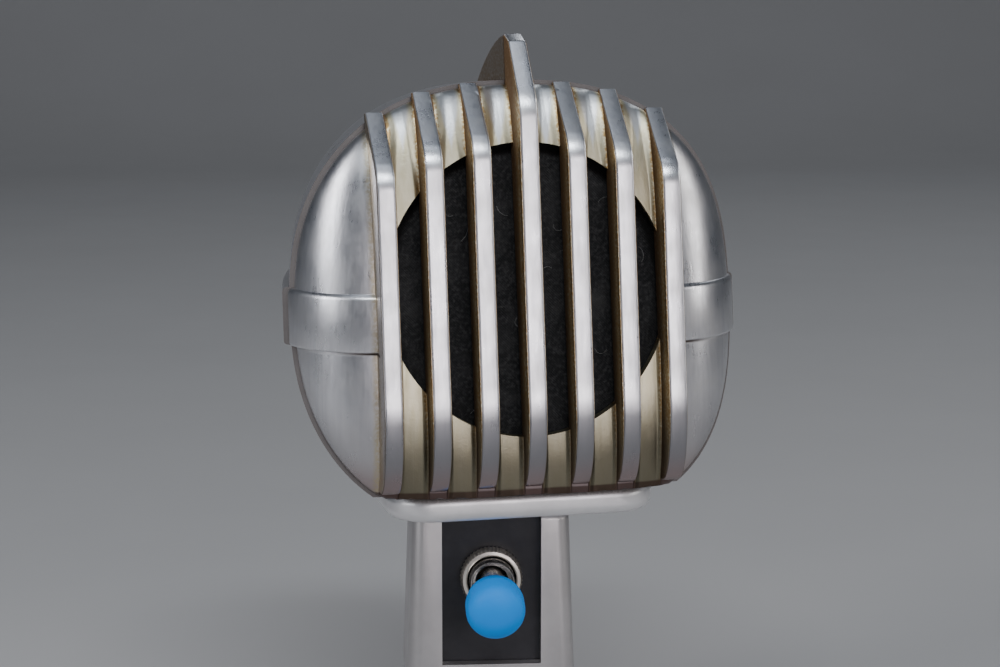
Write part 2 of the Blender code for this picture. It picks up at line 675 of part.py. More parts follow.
def build_motor(head):
    height = MOTOR_HIGH - MOTOR_LOW
    middle = (MOTOR_HIGH + MOTOR_LOW) / 2
    for name, side in (("l", -1), ("r", 1)):
        tip = RIBBON_W / 2 + 0.4 * MM
        pole = [(side * tip, MOTOR_Y - 2 * MM), (side * (tip + 5 * MM), MOTOR_Y - 5 * MM),
                (side * (tip + 7 * MM), MOTOR_Y - 5 * MM), (side * (tip + 7 * MM), MOTOR_Y + 6 * MM),
                (side * (tip + 3 * MM), MOTOR_Y + 6 * MM), (side * tip, MOTOR_Y + 2 * MM)]
        finish(prism_bm(pole, MOTOR_LOW, MOTOR_HIGH, 'Z'), "pole_piece_" + name, magnet_iron(), *head)
        centre = (side * (tip + 12.1 * MM), MOTOR_Y + 1 * MM, middle)
        magnet = finish(box_bm((9.6 * MM, 12 * MM, height - 4 * MM), centre), "magnet_" + name,
                        magnet_iron(), *head)
        bevel(magnet, 0.6 * MM, 1)
    wide = 2 * (RIBBON_W / 2 + 0.4 * MM + 17.2 * MM)
    yoke_back = MOTOR_Y + 7.4 * MM
    yoke = finish(box_bm((wide + 5 * MM, 3 * MM, height - 8 * MM), (0, yoke_back + 1.5 * MM, middle)),
                  "motor_yoke", magnet_iron(), *head)
    for side in (-1, 1):
        join_with(yoke, box_bm((2.4 * MM, 16 * MM, height - 8 * MM),
                               (side * (wide / 2 + 1.3 * MM), yoke_back - 5 * MM, middle)),
                  "yoke_arm_%d" % (side + 1), *head)
    cut_with(yoke, box_bm((8 * MM, 10 * MM, height - 20 * MM), (0, yoke_back + MM, middle)), "yoke_window", *head)
    for name, low in (("bottom", MOTOR_LOW - 3.3 * MM), ("top", MOTOR_HIGH + 0.3 * MM)):
        plate = finish(box_bm((34 * MM, 13 * MM, 3 * MM), (0, MOTOR_Y + MM, low + 1.5 * MM)),
                       "motor_plate_" + name, phenolic(), *head)
        cut_with(plate, box_bm((6.4 * MM, 9 * MM, 6 * MM), (0, MOTOR_Y - 2 * MM, low + 1.5 * MM)),
                 "motor_plate_notch_" + name, *head)
        bevel(plate, 0.4 * MM, 1)
    for name, edge, side in (("bottom", MOTOR_LOW - 3.6 * MM, -1), ("top", MOTOR_HIGH + 3.6 * MM, 1)):
        clamp = finish(box_bm((10 * MM, 3.4 * MM, 3.6 * MM), (0, MOTOR_Y + 2.6 * MM, edge + side * 1.8 * MM)),
                       "ribbon_clamp_" + name, brass(), *head)
        bevel(clamp, 0.3 * MM, 1)
        for half, x in (("l", -3.6 * MM), ("r", 3.6 * MM)):
            spot = (x, edge + side * 1.8 * MM)
            cut_with(clamp, cylinder_bm(1.1 * MM, MOTOR_Y, MOTOR_Y + 6 * MM, 'Y', spot, 12),
                     "clamp_hole_%s_%s" % (name, half), *head)
    build_ribbon(head)
    for name, low, high in (("bottom", BASE_Z + WALL + GAP, MOTOR_LOW - 7.6 * MM),
                            ("top", MOTOR_HIGH + 3.6 * MM, TOP_H - 4.2 * MM)):
        bm = cylinder_bm(4.6 * MM, low, high, 'Z', (0, MOTOR_Y + 0.5 * MM), 24)
        mount = finish(bm, "rubber_mount_" + name, rubber(), *head, smooth=40)
        if name == "top":
            mount.location.y += 9.4 * MM


def build_transformer(head):
    centre = Vector((0, 33.5 * MM, 4 * MM))
    core = finish(box_bm((25 * MM, 9 * MM, 24 * MM), centre), "transformer_core", magnet_iron(), *head)
    cut_with(core, box_bm((5.0 * MM, 12 * MM, 14 * MM), centre + Vector((-7.0 * MM, 0, 0))), "core_win_l", *head)
    cut_with(core, box_bm((5.0 * MM, 12 * MM, 14 * MM), centre + Vector((7.0 * MM, 0, 0))), "core_win_r", *head)
    coil = finish(prism_bm(rounded_rect(18.2 * MM, 15.4 * MM, 2 * MM, (0, 33.5 * MM), 3),
                           -2.6 * MM, 10.6 * MM, 'Z'), "transformer_coil", enamel_wire(), *head)
    cut_with(coil, box_bm((9.6 * MM, 9.6 * MM, 30 * MM), centre), "coil_bore", *head)
    board = finish(box_bm((22 * MM, 1.6 * MM, 9 * MM), (0, 33.5 * MM, 22.5 * MM)), "terminal_board",
                   phenolic(), *head)
    for k in range(4):
        cut_with(board, cylinder_bm(0.9 * MM, 30 * MM, 37 * MM, 'Y', ((k - 1.5) * 5 * MM, 22.5 * MM), 10),
                 "board_hole_%d" % k, *head)


# ---------------------------------------------------------------- swivel post
def build_swivel(pan):
    def local(z):
        return z - NECK_TOP

    hub_top = local(60.2 * MM)
    profile = [(0, hub_top), (HUB_R - 0.4 * MM, hub_top), (HUB_R, hub_top - 0.4 * MM),
               (HUB_R, local(57.3 * MM)), (FLANGE_R, local(57.3 * MM)), (FLANGE_R, local(55.9 * MM)),
               (0, local(55.9 * MM))]
    post = turned("swivel_post", profile, steel(), pan, segments=28)
    pivot = local(TILT_Z)
    tongue = [(-5.4 * MM, hub_top - MM), (5.4 * MM, hub_top - MM), (5.4 * MM, pivot)]
    tongue += [(5.4 * MM * math.cos(a), pivot + 5.4 * MM * math.sin(a))
               for a in (math.radians(22.5 * k) for k in range(1, 8))]
    tongue += [(-5.4 * MM, pivot)]
    join_with(post, prism_bm(tongue, -4 * MM, 4 * MM), "tongue", pan)
    cut_with(post, cylinder_bm(2.85 * MM, -9 * MM, 9 * MM, 'X', (0, pivot), 18), "tongue_bore", pan)
    cut_with(post, cylinder_bm(2.2 * MM, local(50 * MM), local(65.6 * MM), 'Z', (0, 0), 14), "wire_bore", pan)
    cut_with(post, cylinder_bm(2.2 * MM, -9 * MM, 0, 'Y', (0, local(64.2 * MM)), 14), "wire_exit", pan)
    ring = finish(cylinder_bm(RING_R, local(57.6 * MM), local(59.1 * MM), 'Z', (0, 0), 36), "swivel_ring",
                  steel(), pan, smooth=40)
    holes = [cylinder_bm(HUB_R + GAP, local(55 * MM), local(62 * MM), 'Z', (0, 0), 28)]
    for side in (-1, 1):
        holes.append(cylinder_bm(0.9 * MM, local(55 * MM), local(62 * MM), 'Z', (side * 9.1 * MM, 0), 12))
    cut_with(ring, combined(holes), "swivel_ring_holes", pan)
    washer = finish(cylinder_bm(9.2 * MM, local(55.1 * MM), local(55.6 * MM), 'Z', (0, 0), 28),
                    "swivel_washer", phenolic(), pan, smooth=40)
    cut_with(washer, cylinder_bm(5.0 * MM, local(50 * MM), local(60 * MM), 'Z', (0, 0), 24),
             "swivel_washer_bore", pan)


# ---------------------------------------------------------------- neck
def tapered_box(width_low, width_high, front, back, radius, low, high):
    bm = prism_bm(rounded_rect(width_low, back - front, radius, (0, (front + back) / 2), 4), low, high, 'Z')
    for vert in bm.verts:
        if abs(vert.co.z - high) < 1e-6:
            vert.co.x *= width_high / width_low
    return bm


def build_neck():
    bm = tapered_box(NECK_W_LOW, NECK_W_TOP, NECK_FRONT, NECK_BACK, 3.0 * MM, NECK_LOW, NECK_TOP)
    neck = finish(bm, "neck_housing", cast_metal(), smooth=30)
    bevel(neck, 1.0 * MM, 2, angle=60)
    inside = tapered_box(NECK_W_LOW - 2 * NECK_WALL, NECK_W_TOP - 2 * NECK_WALL, NECK_FRONT + NECK_WALL,
                         NECK_BACK + 10 * MM, 0.8 * MM, NECK_LOW + 3.0 * MM, NECK_TOP - NECK_LID)
    cut_with(neck, inside, "neck_hollow")
    high = NECK_TOP + 5 * MM
    cut_with(neck, box_bm((WINDOW_W, 2 * NECK_WALL + MM, high - WINDOW_LOW), (0, NECK_FRONT, (WINDOW_LOW + high) / 2)),
             "neck_window")
    board_y = NECK_FRONT + NECK_WALL + GAP + 0.9 * MM
    cut_with(neck, box_bm((WINDOW_W + 5.6 * MM, 2.4 * MM, high - BOARD_LOW + 0.6 * MM),
                          (0, board_y, (BOARD_LOW + high) / 2 - GAP)), "board_pocket")
    cut_with(neck, cylinder_bm(4.4 * MM, 50 * MM, 70 * MM, 'Z', (0, 0), 24), "wire_passage")
    cut_with(neck, cylinder_bm(FLANGE_R + GAP, 54.8 * MM, 70 * MM, 'Z', (0, 0), 32), "flange_seat")
    cut_with(neck, cylinder_bm(RING_R + GAP, 57.4 * MM, 70 * MM, 'Z', (0, 0), 36), "ring_seat")
    cut_with(neck, cylinder_bm(8.0 * MM, 10 * MM, 30 * MM, 'Z', (0, 0), 32), "coupler_hole")
    bm = box_bm((WINDOW_W + 5 * MM, 1.8 * MM, BOARD_TOP - BOARD_LOW),
                (0, board_y, (BOARD_LOW + BOARD_TOP) / 2))
    plate = finish(bm, "switch_plate", black_board())
    cut_with(plate, cylinder_bm(4.9 * MM, -30 * MM, 0, 'Y', (0, TOGGLE_Z), 24), "switch_plate_hole")
    return neck


def build_back_cover():
    y = NECK_BACK + GAP
    low, high = NECK_LOW + 1.2 * MM, NECK_TOP - 1.5 * MM
    cover = finish(prism_bm(rounded_rect(27.4 * MM, high - low, 2.5 * MM, (0, (low + high) / 2), 4),
                            y, y + 1.8 * MM, 'Y'), "neck_back_cover", cast_metal(), smooth=30)
    bevel(cover, 0.5 * MM, 1, angle=60)
    cut_with(cover, cylinder_bm(7.6 * MM, 5 * MM, 25 * MM, 'Y', (0, INLET_Z), 24), "cover_hole")
    for name, z in (("top", high - 2.8 * MM), ("bottom", low + 2.2 * MM)):
        neck_hole = cylinder_bm(1.45 * MM, 5 * MM, 25 * MM, 'Y', (0, z), 14)
        cut_with(cover, neck_hole, "cover_screw_hole_" + name)
        if name == "top":
            cut_with(bpy.data.objects["neck_housing"],
                     cylinder_bm(1.45 * MM, 8 * MM, 25 * MM, 'Y', (0, z), 14), "neck_screw_hole")
        screw = finish(cylinder_bm(2.3 * MM, y + 2.1 * MM, y + 3.6 * MM, 'Y', (0, z), 18),
                       "cover_screw_" + name, steel(), smooth=40)
        tail = y - (2.6 * MM if name == "top" else 0.0)
        join_with(screw, cylinder_bm(1.15 * MM, tail, y + 3 * MM, 'Y', (0, z), 12), "cover_shank_" + name)
        cut_with(screw, box_bm((6 * MM, 1.4 * MM, 0.7 * MM), (0, y + 3.8 * MM, z)), "cover_slot_" + name)


def build_inlet():
    y = NECK_BACK + GAP
    face = y + 2.1 * MM
    shell = finish(cylinder_bm(9.0 * MM, face, face + 2.0 * MM, 'Y', (0, INLET_Z), 24), "inlet_shell",
                   steel(), smooth=40)
    join_with(shell, cylinder_bm(7.3 * MM, 6.5 * MM, face + 7.5 * MM, 'Y', (0, INLET_Z), 24), "inlet_tube")
    cut_with(shell, cylinder_bm(6.2 * MM, 0, 40 * MM, 'Y', (0, INLET_Z), 24), "inlet_bore")
    insert = finish(cylinder_bm(5.9 * MM, 7.5 * MM, 15.5 * MM, 'Y', (0, INLET_Z), 24), "inlet_insert",
                    phenolic(), smooth=40)
    for k in range(3):
        angle = math.radians(90 + 120 * k)
        spot = (3.2 * MM * math.cos(angle), INLET_Z + 3.2 * MM * math.sin(angle))
        cut_with(insert, cylinder_bm(0.95 * MM, 0, 30 * MM, 'Y', spot, 12), "insert_hole_%d" % k)
        finish(cylinder_bm(0.6 * MM, 3.5 * MM, 21.5 * MM, 'Y', spot, 12), "inlet_pin_%d" % (k + 1),
               brass(), smooth=40)


def build_coupler():
    profile = [(0, 24.6 * MM), (7.6 * MM, 24.6 * MM), (7.6 * MM, NECK_LOW - GAP),
               (COUPLER_R, NECK_LOW - GAP), (COUPLER_R, 18.6 * MM), (COUPLER_R - 1.6 * MM, 17.4 * MM),
               (COUPLER_R - 1.6 * MM, 1.2 * MM), (COUPLER_R - 2.6 * MM, 0), (0, 0)]
    coupler = turned("stand_coupler", profile, cast_metal(), segments=28)
    cut_with(coupler, cylinder_bm(SOCKET_R, -5 * MM, SOCKET_DEPTH, 'Z', (0, 0), 28), "stand_socket")
    cut_with(coupler, cylinder_bm(2.6 * MM, 10 * MM, 30 * MM, 'Z', (0, 0), 16), "coupler_wire_hole")


# ---------------------------------------------------------------- toggle switch
def build_switch(lever, rocker):
    plate_back = NECK_FRONT + NECK_WALL + GAP + 1.8 * MM
    front = plate_back + GAP
    body = finish(box_bm((12 * MM, 9 * MM, 13 * MM), (0, front + 4.5 * MM, TOGGLE_Z)), "switch_body",
                  phenolic())
    bevel(body, 0.5 * MM, 1)
    join_with(body, cylinder_bm(4.55 * MM, NECK_FRONT - 3.2 * MM, front + MM, 'Y', (0, TOGGLE_Z), 24), "bushing")
    cut_with(body, cylinder_bm(3.3 * MM, -25 * MM, front + 2 * MM, 'Y', (0, TOGGLE_Z), 24), "bushing_bore")
    cut_with(body, cylinder_bm(4.1 * MM, -25 * MM, NECK_FRONT - 1.6 * MM, 'Y', (0, TOGGLE_Z), 24), "bushing_mouth")
    cut_with(body, box_bm((9.2 * MM, 6.4 * MM, 10.4 * MM), (0, front + 4.6 * MM, TOGGLE_Z)), "body_hollow")
    nut_back = NECK_FRONT + NECK_WALL
    nut = finish(cylinder_bm(NUT_R, nut_back - 3.2 * MM, nut_back, 'Y', (0, TOGGLE_Z), 24), "switch_nut",
                 steel(), smooth=40)
    bevel(nut, 0.7 * MM, 1, angle=60)
    cut_with(nut, cylinder_bm(4.85 * MM, -30 * MM, 0, 'Y', (0, TOGGLE_Z), 24), "switch_nut_bore")
    axis = (math.radians(90), 0, 0)
    bat = [(0, 12.2 * MM), (1.5 * MM, 12.2 * MM), (1.9 * MM, 11.6 * MM), (1.7 * MM, 3.0 * MM)]
    bat += [(2.75 * MM * math.cos(a), 2.75 * MM * math.sin(a)) for a in
            (math.radians(50 - 20 * k) for k in range(6))]
    bat += [(1.2 * MM, -3.0 * MM), (1.0 * MM, -6.2 * MM), (0, -6.6 * MM)]
    turned("toggle_lever", bat, steel(), lever, segments=16, tilt=axis)
    cap = [(0, 16.6 * MM), (2.6 * MM, 16.4 * MM), (4.4 * MM, 15.7 * MM), (5.4 * MM, 14.4 * MM),
           (CAP_R, 12.8 * MM), (CAP_R, 10.4 * MM), (5.2 * MM, 8.2 * MM), (4.2 * MM, 6.6 * MM),
           (2.2 * MM, 6.2 * MM), (2.2 * MM, 12.6 * MM), (0, 12.6 * MM)]
    turned("lever_cap", cap, blue_plastic(), lever, segments=24, tilt=axis)
    arm = [(-1.2 * MM, -1.6 * MM), (1.2 * MM, -1.6 * MM), (1.2 * MM, -0.3 * MM), (0.5 * MM, 0.1 * MM),
           (-0.5 * MM, 0.1 * MM), (-1.2 * MM, -0.3 * MM)]
    bm = prism_bm([(y, z) for z, y in arm], -3 * MM, 3 * MM)
    bmesh.ops.scale(bm, vec=(1, 1, 3.2), verts=bm.verts)
    finish(bm, "contact_rocker", brass(), rocker)
    for k in range(2):
        spot = (0, TOGGLE_Z + (k - 0.5) * 8 * MM)
        cut_with(body, cylinder_bm(1.15 * MM, -6 * MM, 20 * MM, 'Y', spot, 12), "terminal_hole_%d" % k)
        finish(cylinder_bm(0.8 * MM, front + 6.6 * MM, front + 13 * MM, 'Y', spot, 12),
               "switch_terminal_%d" % (k + 1), brass(), smooth=40)


def empty(name, parent, location, rotation=(0, 0, 0)):
    obj = bpy.data.objects.new(name, None)
    bpy.context.scene.collection.objects.link(obj)
    obj.parent = parent
    obj.location = location
    obj.rotation_euler = rotation
    obj.empty_display_size = 0.01
    return obj


def build():
    clear_scene()
    make_collections()
    pan = empty("pan_axis", None, (0, 0, NECK_TOP), (0, 0, HEAD_YAW))
    tilt = empty("tilt_axis", pan, (0, 0, TILT_Z - NECK_TOP))
    lever = empty("lever_axis", None, (0, TOGGLE_PIVOT_Y, TOGGLE_Z), (-LEVER_REST, 0, 0))
    rocker = empty("rocker_axis", None, (0, ROCKER_Y, TOGGLE_Z), (ROCKER_REST, 0, 0))
    head = (tilt, (0, -PAN_Y, BELT_Z - TILT_Z))
    build_front_shell(head)
    build_rear_shell(head)
    build_cloths(head)
    build_saddle(head)
    build_tilt_bracket(head)
    build_shell_screws(head)
    build_motor(head)
    build_transformer(head)
    build_swivel(pan)
    build_neck()
    build_back_cover()
    build_inlet()
    build_coupler()
    build_switch(lever, rocker)


build()
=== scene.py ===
"""Looks of a ribbed cast-metal ribbon microphone on its switch neck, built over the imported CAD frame."""
import random
from math import cos, pi, radians, sin, sqrt, tan, tau
from types import SimpleNamespace

import bmesh
import bpy
from mathutils import Matrix, Vector, noise


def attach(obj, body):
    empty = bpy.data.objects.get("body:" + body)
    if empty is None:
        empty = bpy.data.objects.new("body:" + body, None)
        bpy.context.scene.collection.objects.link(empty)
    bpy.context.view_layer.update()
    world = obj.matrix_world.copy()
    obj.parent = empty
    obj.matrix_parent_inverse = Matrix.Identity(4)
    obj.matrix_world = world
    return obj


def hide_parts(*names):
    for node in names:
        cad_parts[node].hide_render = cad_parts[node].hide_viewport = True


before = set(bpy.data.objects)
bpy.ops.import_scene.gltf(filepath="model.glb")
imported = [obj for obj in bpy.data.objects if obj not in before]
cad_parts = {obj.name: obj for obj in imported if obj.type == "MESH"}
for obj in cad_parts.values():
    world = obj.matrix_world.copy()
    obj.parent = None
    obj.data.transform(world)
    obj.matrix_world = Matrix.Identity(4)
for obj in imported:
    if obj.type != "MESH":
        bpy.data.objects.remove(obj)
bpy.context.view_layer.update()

MM = 0.001
# ---- placing of the head
BELT_Z = 102.0 * MM
PAN_Y = 31.0 * MM
HEAD_YAW = radians(9.0)
RAKE = 0.15
SWEEP_START = 25.0 * MM
SWEEP = 1000.0
HEAD = (Matrix.Translation((0, 0, BELT_Z)) @ Matrix.Rotation(HEAD_YAW, 4, 'Z')
        @ Matrix.Translation((0, -PAN_Y, 0)))
# ---- shells
HALF_W = 42.6 * MM
TOP_H = 42.9 * MM
LOW_H = 40.0 * MM
BASE_Z = -33.2 * MM
OUTLINE_POWER = 2.45
WALL = 2.0 * MM
SEAM = 0.15 * MM
FRONT_DEPTH = 7.2 * MM
FRONT_FLAT = 6.0 * MM
FRONT_POWER = 2.4
REAR_DEPTH = 60.0 * MM
REAR_POWER = 3.4
REAR_PROUD = 0.8 * MM
REAR_TAPER = 0.16
TOP_TAPER = 0.10
OPENING_R = 27.3 * MM
OPENING_Z = 5.3 * MM
# ---- ribs
RIB_PITCH = 9.07 * MM
RIB_T = 3.64 * MM
RIBS_EDGE = 3 * RIB_PITCH + RIB_T / 2
RIB_FRONT = 11.3 * MM
RIB_LOW_BEND = -14.2 * MM
RIB_FOOT = 1.3 * MM
RIB_TOP_BENDS = {0: 40.2 * MM, 1: 32.6 * MM, 2: 30.8 * MM, 3: 27.6 * MM}
RIB_END_Y = 3.5 * MM
RIB_BACK = 0.33 * MM
RIB_ROUND = 0.55 * MM
FIN_TIP_Y = 3.6 * MM
FIN_TIP_Z = 52.0 * MM
FIN_LENGTH = 27.0 * MM
# ---- belt
BELT_HALF = 5.4 * MM
BELT_PROUD = 1.1 * MM
FRONT_BELT_X = 28.2 * MM
REAR_BELT_X = 27.0 * MM
BELT_TOP_ROUND = 1.15 * MM
BELT_LOW_ROUND = 0.5 * MM
# ---- cloth
FRONT_CLOTH_R = 28.4 * MM
FRONT_CLOTH_Y = (-3.3 * MM, -2.6 * MM)
REAR_CLOTH_R = 22.0 * MM
REAR_CLOTH_Y = (50.2 * MM, 51.0 * MM)
# ---- shell screws, grille, saddle
SHELL_SCREW_X = 27.5 * MM
SCREW_SEAT = 45.4 * MM
SCREW_BORE_R = 1.9 * MM
SCREW_HEAD_R = 3.4 * MM
BOSS_R = 4.4 * MM
BOSS_FRONT = 37.0 * MM
BOSS_BACK = 46.5 * MM
GRILLE_PITCH = 6.4 * MM
GRILLE_W = 3.2 * MM
GRILLE_R = 21.5 * MM
PLATE_W = 52.4 * MM
PLATE_FRONT = -6.5 * MM
PLATE_BACK = 47.0 * MM
PLATE_TOP = -33.5 * MM
PLATE_T = 5.2 * MM
PLATE_CORNER = 9.0 * MM
PLATE_ROUND = 1.9 * MM
SLOT_W = 9.4 * MM
SLOT_L = 17.4 * MM
SCREW_SINK = 2.4 * MM
SCREW_X = 10.0 * MM
SCREW_Y = 6.4 * MM
CORNERS = ((-1, -1), (1, -1), (-1, 1), (1, 1))
# ---- neck and switch
NECK_TOP = 59.0 * MM
NECK_LOW = 22.0 * MM
NECK_W_TOP = 31.2 * MM
NECK_W_LOW = 34.0 * MM
NECK_FRONT = -17.0 * MM
NECK_BACK = 13.0 * MM
NECK_WALL = 2.6 * MM
NECK_LID = 6.0 * MM
WINDOW_W = 19.8 * MM
WINDOW_LOW = 28.5 * MM
BOARD_LOW = 25.6 * MM
POST_BORE_R = 4.4 * MM
FLANGE_R = 9.4 * MM
FLANGE_LOW = 55.1 * MM
RING_R = 10.9 * MM
RING_LOW = 57.7 * MM
CABLE_BORE_R = 8.0 * MM
COVER_SCREW_R = 1.45 * MM
GAP = 0.3 * MM
TOGGLE_Z = 46.0 * MM
TOGGLE_PIVOT_Y = -16.2 * MM
LEVER_TILT = radians(13.0)
NUT_R = 6.2 * MM
BUSHING_BORE_R = 3.3 * MM
TERMINAL_GAP = 8.0 * MM
BALL_R = 2.75 * MM
CAP_R = 5.8 * MM
SOCKET_R = 7.94 * MM
SOCKET_DEPTH = 15.0 * MM
THREAD_PITCH = 0.94 * MM
COUPLER_R = 14.0 * MM
GRIP_R = 12.4 * MM
WORLD = Matrix.Identity(4)


# ======== node helpers
class Graph:
    """Short names for the shader nodes of one material."""

    def __init__(self, name, on_head=False):
        self.mat = bpy.data.materials.new(name)
        self.mat.use_nodes = True
        self.nodes = self.mat.node_tree.nodes
        self.links = self.mat.node_tree.links
        self.shader = self.nodes["Principled BSDF"]
        coord = self.nodes.new("ShaderNodeTexCoord")
        self.position = coord.outputs["Object"]
        if on_head:
            node = self.nodes.new("ShaderNodeMapping")
            node.vector_type = 'TEXTURE'
            node.inputs["Location"].default_value = HEAD.translation
            node.inputs["Rotation"].default_value = (0, 0, HEAD_YAW)
            self.links.new(self.position, node.inputs["Vector"])
            self.position = node.outputs[0]
        split = self.nodes.new("ShaderNodeSeparateXYZ")
        self.links.new(self.position, split.inputs[0])
        self.x, self.y, self.z = split.outputs

    def feed(self, socket, value):
        """Links a socket to another one, or sets its value."""
        if isinstance(value, bpy.types.NodeSocket):
            self.links.new(value, socket)
        elif isinstance(value, tuple) and len(value) == 3 and socket.type == 'RGBA':
            socket.default_value = (*value, 1.0)
        else:
            socket.default_value = value

    def math(self, operation, a, b=0.0, clamp=False):
        node = self.nodes.new("ShaderNodeMath")
        node.operation = operation
        node.use_clamp = clamp
        self.feed(node.inputs[0], a)
        self.feed(node.inputs[1], b)
        return node.outputs[0]

    def plus(self, a, b, clamp=False):
        return self.math('ADD', a, b, clamp)

    def minus(self, a, b):
        return self.math('SUBTRACT', a, b)

    def times(self, a, b):
        return self.math('MULTIPLY', a, b)

    def larger(self, a, b):
        return self.math('MAXIMUM', a, b)

    def smaller(self, a, b):
        return self.math('MINIMUM', a, b)

    def absolute(self, a):
        return self.math('ABSOLUTE', a)

    def step(self, value, low, high, out_low=0.0, out_high=1.0):
        """A smooth step between two values."""
        node = self.nodes.new("ShaderNodeMapRange")
        node.interpolation_type = 'SMOOTHSTEP'
        self.feed(node.inputs["Value"], value)
        ends = {"From Min": low, "From Max": high, "To Min": out_low, "To Max": out_high}
        for socket, number in ends.items():
            self.feed(node.inputs[socket], number)
        return node.outputs[0]

    def stretched(self, scale):
        """The position, scaled along each axis."""
        node = self.nodes.new("ShaderNodeMapping")
        node.inputs["Scale"].default_value = scale
        self.links.new(self.position, node.inputs["Vector"])
        return node.outputs[0]

    def noise(self, scale, detail=3.0, vector=None, rough=0.55):
        node = self.nodes.new("ShaderNodeTexNoise")
        self.feed(node.inputs["Vector"], vector or self.position)
        node.inputs["Scale"].default_value = scale
        node.inputs["Detail"].default_value = detail
        node.inputs["Roughness"].default_value = rough
        return node.outputs[0]

    def cells(self, scale, vector):
        node = self.nodes.new("ShaderNodeTexVoronoi")
        self.links.new(vector, node.inputs["Vector"])
        node.inputs["Scale"].default_value = scale
        return node.outputs["Distance"]

    def mix(self, factor, a, b):
        node = self.nodes.new("ShaderNodeMix")
        node.data_type = 'RGBA'
        self.feed(node.inputs[0], factor)
        self.feed(node.inputs[6], a)
        self.feed(node.inputs[7], b)
        return node.outputs[2]

    def crevice(self, distance):
        """1 in a corner, 0 on an open face."""
        node = self.nodes.new("ShaderNodeAmbientOcclusion")
        node.samples = 4
        node.inputs["Distance"].default_value = distance
        return self.minus(1.0, node.outputs["AO"])

    def bump(self, height, strength, distance):
        node = self.nodes.new("ShaderNodeBump")
        node.inputs["Strength"].default_value = strength
        node.inputs["Distance"].default_value = distance
        self.feed(node.inputs["Height"], height)
        self.links.new(node.outputs[0], self.shader.inputs["Normal"])

    def set(self, **values):
        """Feeds the shader's sockets, named with underscores for spaces."""
        for key, value in values.items():
            self.feed(self.shader.inputs[key.replace("_", " ")], value)
        return self.mat


def brushed_height(g, along_z=True):
    """Fine parallel scratches with a few coarser ones."""
    fine = (3800, 3800, 110) if along_z else (110, 3800, 3800)
    coarse = (1100, 1100, 26) if along_z else (26, 1100, 1100)
    a = g.noise(1.0, 2.0, g.stretched(fine))
    b = g.noise(1.0, 3.0, g.stretched(coarse))
    return g.plus(g.times(a, 0.45), g.times(b, 0.75))


def nicks(g, density, size):
    """Small dents: the centres of a few random cells, drawn long by a stretched space."""
    cell = g.cells(density, g.stretched((1.0, 1.0, 0.55)))
    ragged = g.noise(density * 9.0, 2.0)
    return g.step(g.plus(cell, g.times(ragged, size)), size * 0.9, size * 0.55)


def ahead_of_seam(g):
    """Distance in front of the head's seam, which leans and sweeps back."""
    outside = g.larger(g.minus(g.absolute(g.x), SWEEP_START), 0.0)
    swept = g.times(g.times(outside, outside), g.times(outside, SWEEP))
    return g.plus(g.minus(g.times(g.z, RAKE), g.y), swept)


# ======== materials
CLEAN = (0.80, 0.80, 0.825)
AGED = (0.66, 0.65, 0.64)
STREAK = (0.60, 0.60, 0.635)
# Painted light on the bare metal low down: a dark reflection, shade under the ribs' lower bend, a pinkish
# reflection and a highlight on the bend.
LOW_REFLECTION_GREY = (0.42, 0.405, 0.41)
RIB_SHADE = (0.155, 0.155, 0.17)
PINK_REFLECTION = (0.40, 0.27, 0.25)
GLINT = (0.96, 0.96, 0.97)
CREAM = (0.68, 0.63, 0.47)
OCHRE = (0.60, 0.54, 0.36)
# Painted bluish reflection at the top of the channels.
BLUE_REFLECTION = (0.70, 0.73, 0.78)
# Painted shade towards the bottom of the channels.
LOW_SHADE_OLIVE = (0.15, 0.135, 0.095)
GOLD = (0.40, 0.26, 0.11)
TAN = (0.52, 0.44, 0.27)
FLANK_TAN = (0.36, 0.29, 0.23)
LIGHT_BROWN = (0.19, 0.105, 0.045)
BROWN = (0.040, 0.022, 0.012)
SKIRT_BROWN = (0.075, 0.042, 0.034)
RUST = (0.16, 0.07, 0.05)
PALE_RUST = (0.20, 0.13, 0.09)


def front_zones(g):
    """Distances, noises and masks; side is the distance outside the nearest rib's wall."""
    zone = SimpleNamespace()
    rib = g.math('ROUND', g.math('DIVIDE', g.x, RIB_PITCH))
    rib = g.smaller(g.larger(rib, -3.0), 3.0)
    off = g.absolute(g.minus(g.x, g.times(rib, RIB_PITCH)))
    zone.side = g.minus(off, RIB_T / 2)
    zone.front = ahead_of_seam(g)
    zone.across = g.absolute(g.x)
    zone.cloud = g.noise(170, 4.0)
    zone.speck = g.noise(1900, 4.0)
    zone.streak = g.noise(1.0, 3.0, g.stretched((1100, 1100, 60)))
    zone.wobble = g.times(g.minus(zone.cloud, 0.5), 1.1 * MM)
    inside = g.step(zone.side, -0.30 * MM, -0.05 * MM)
    zone.cheek = g.step(zone.across, RIBS_EDGE - 0.20 * MM, RIBS_EDGE - 0.05 * MM)
    zone.channel = g.times(inside, g.minus(1.0, zone.cheek))
    return zone


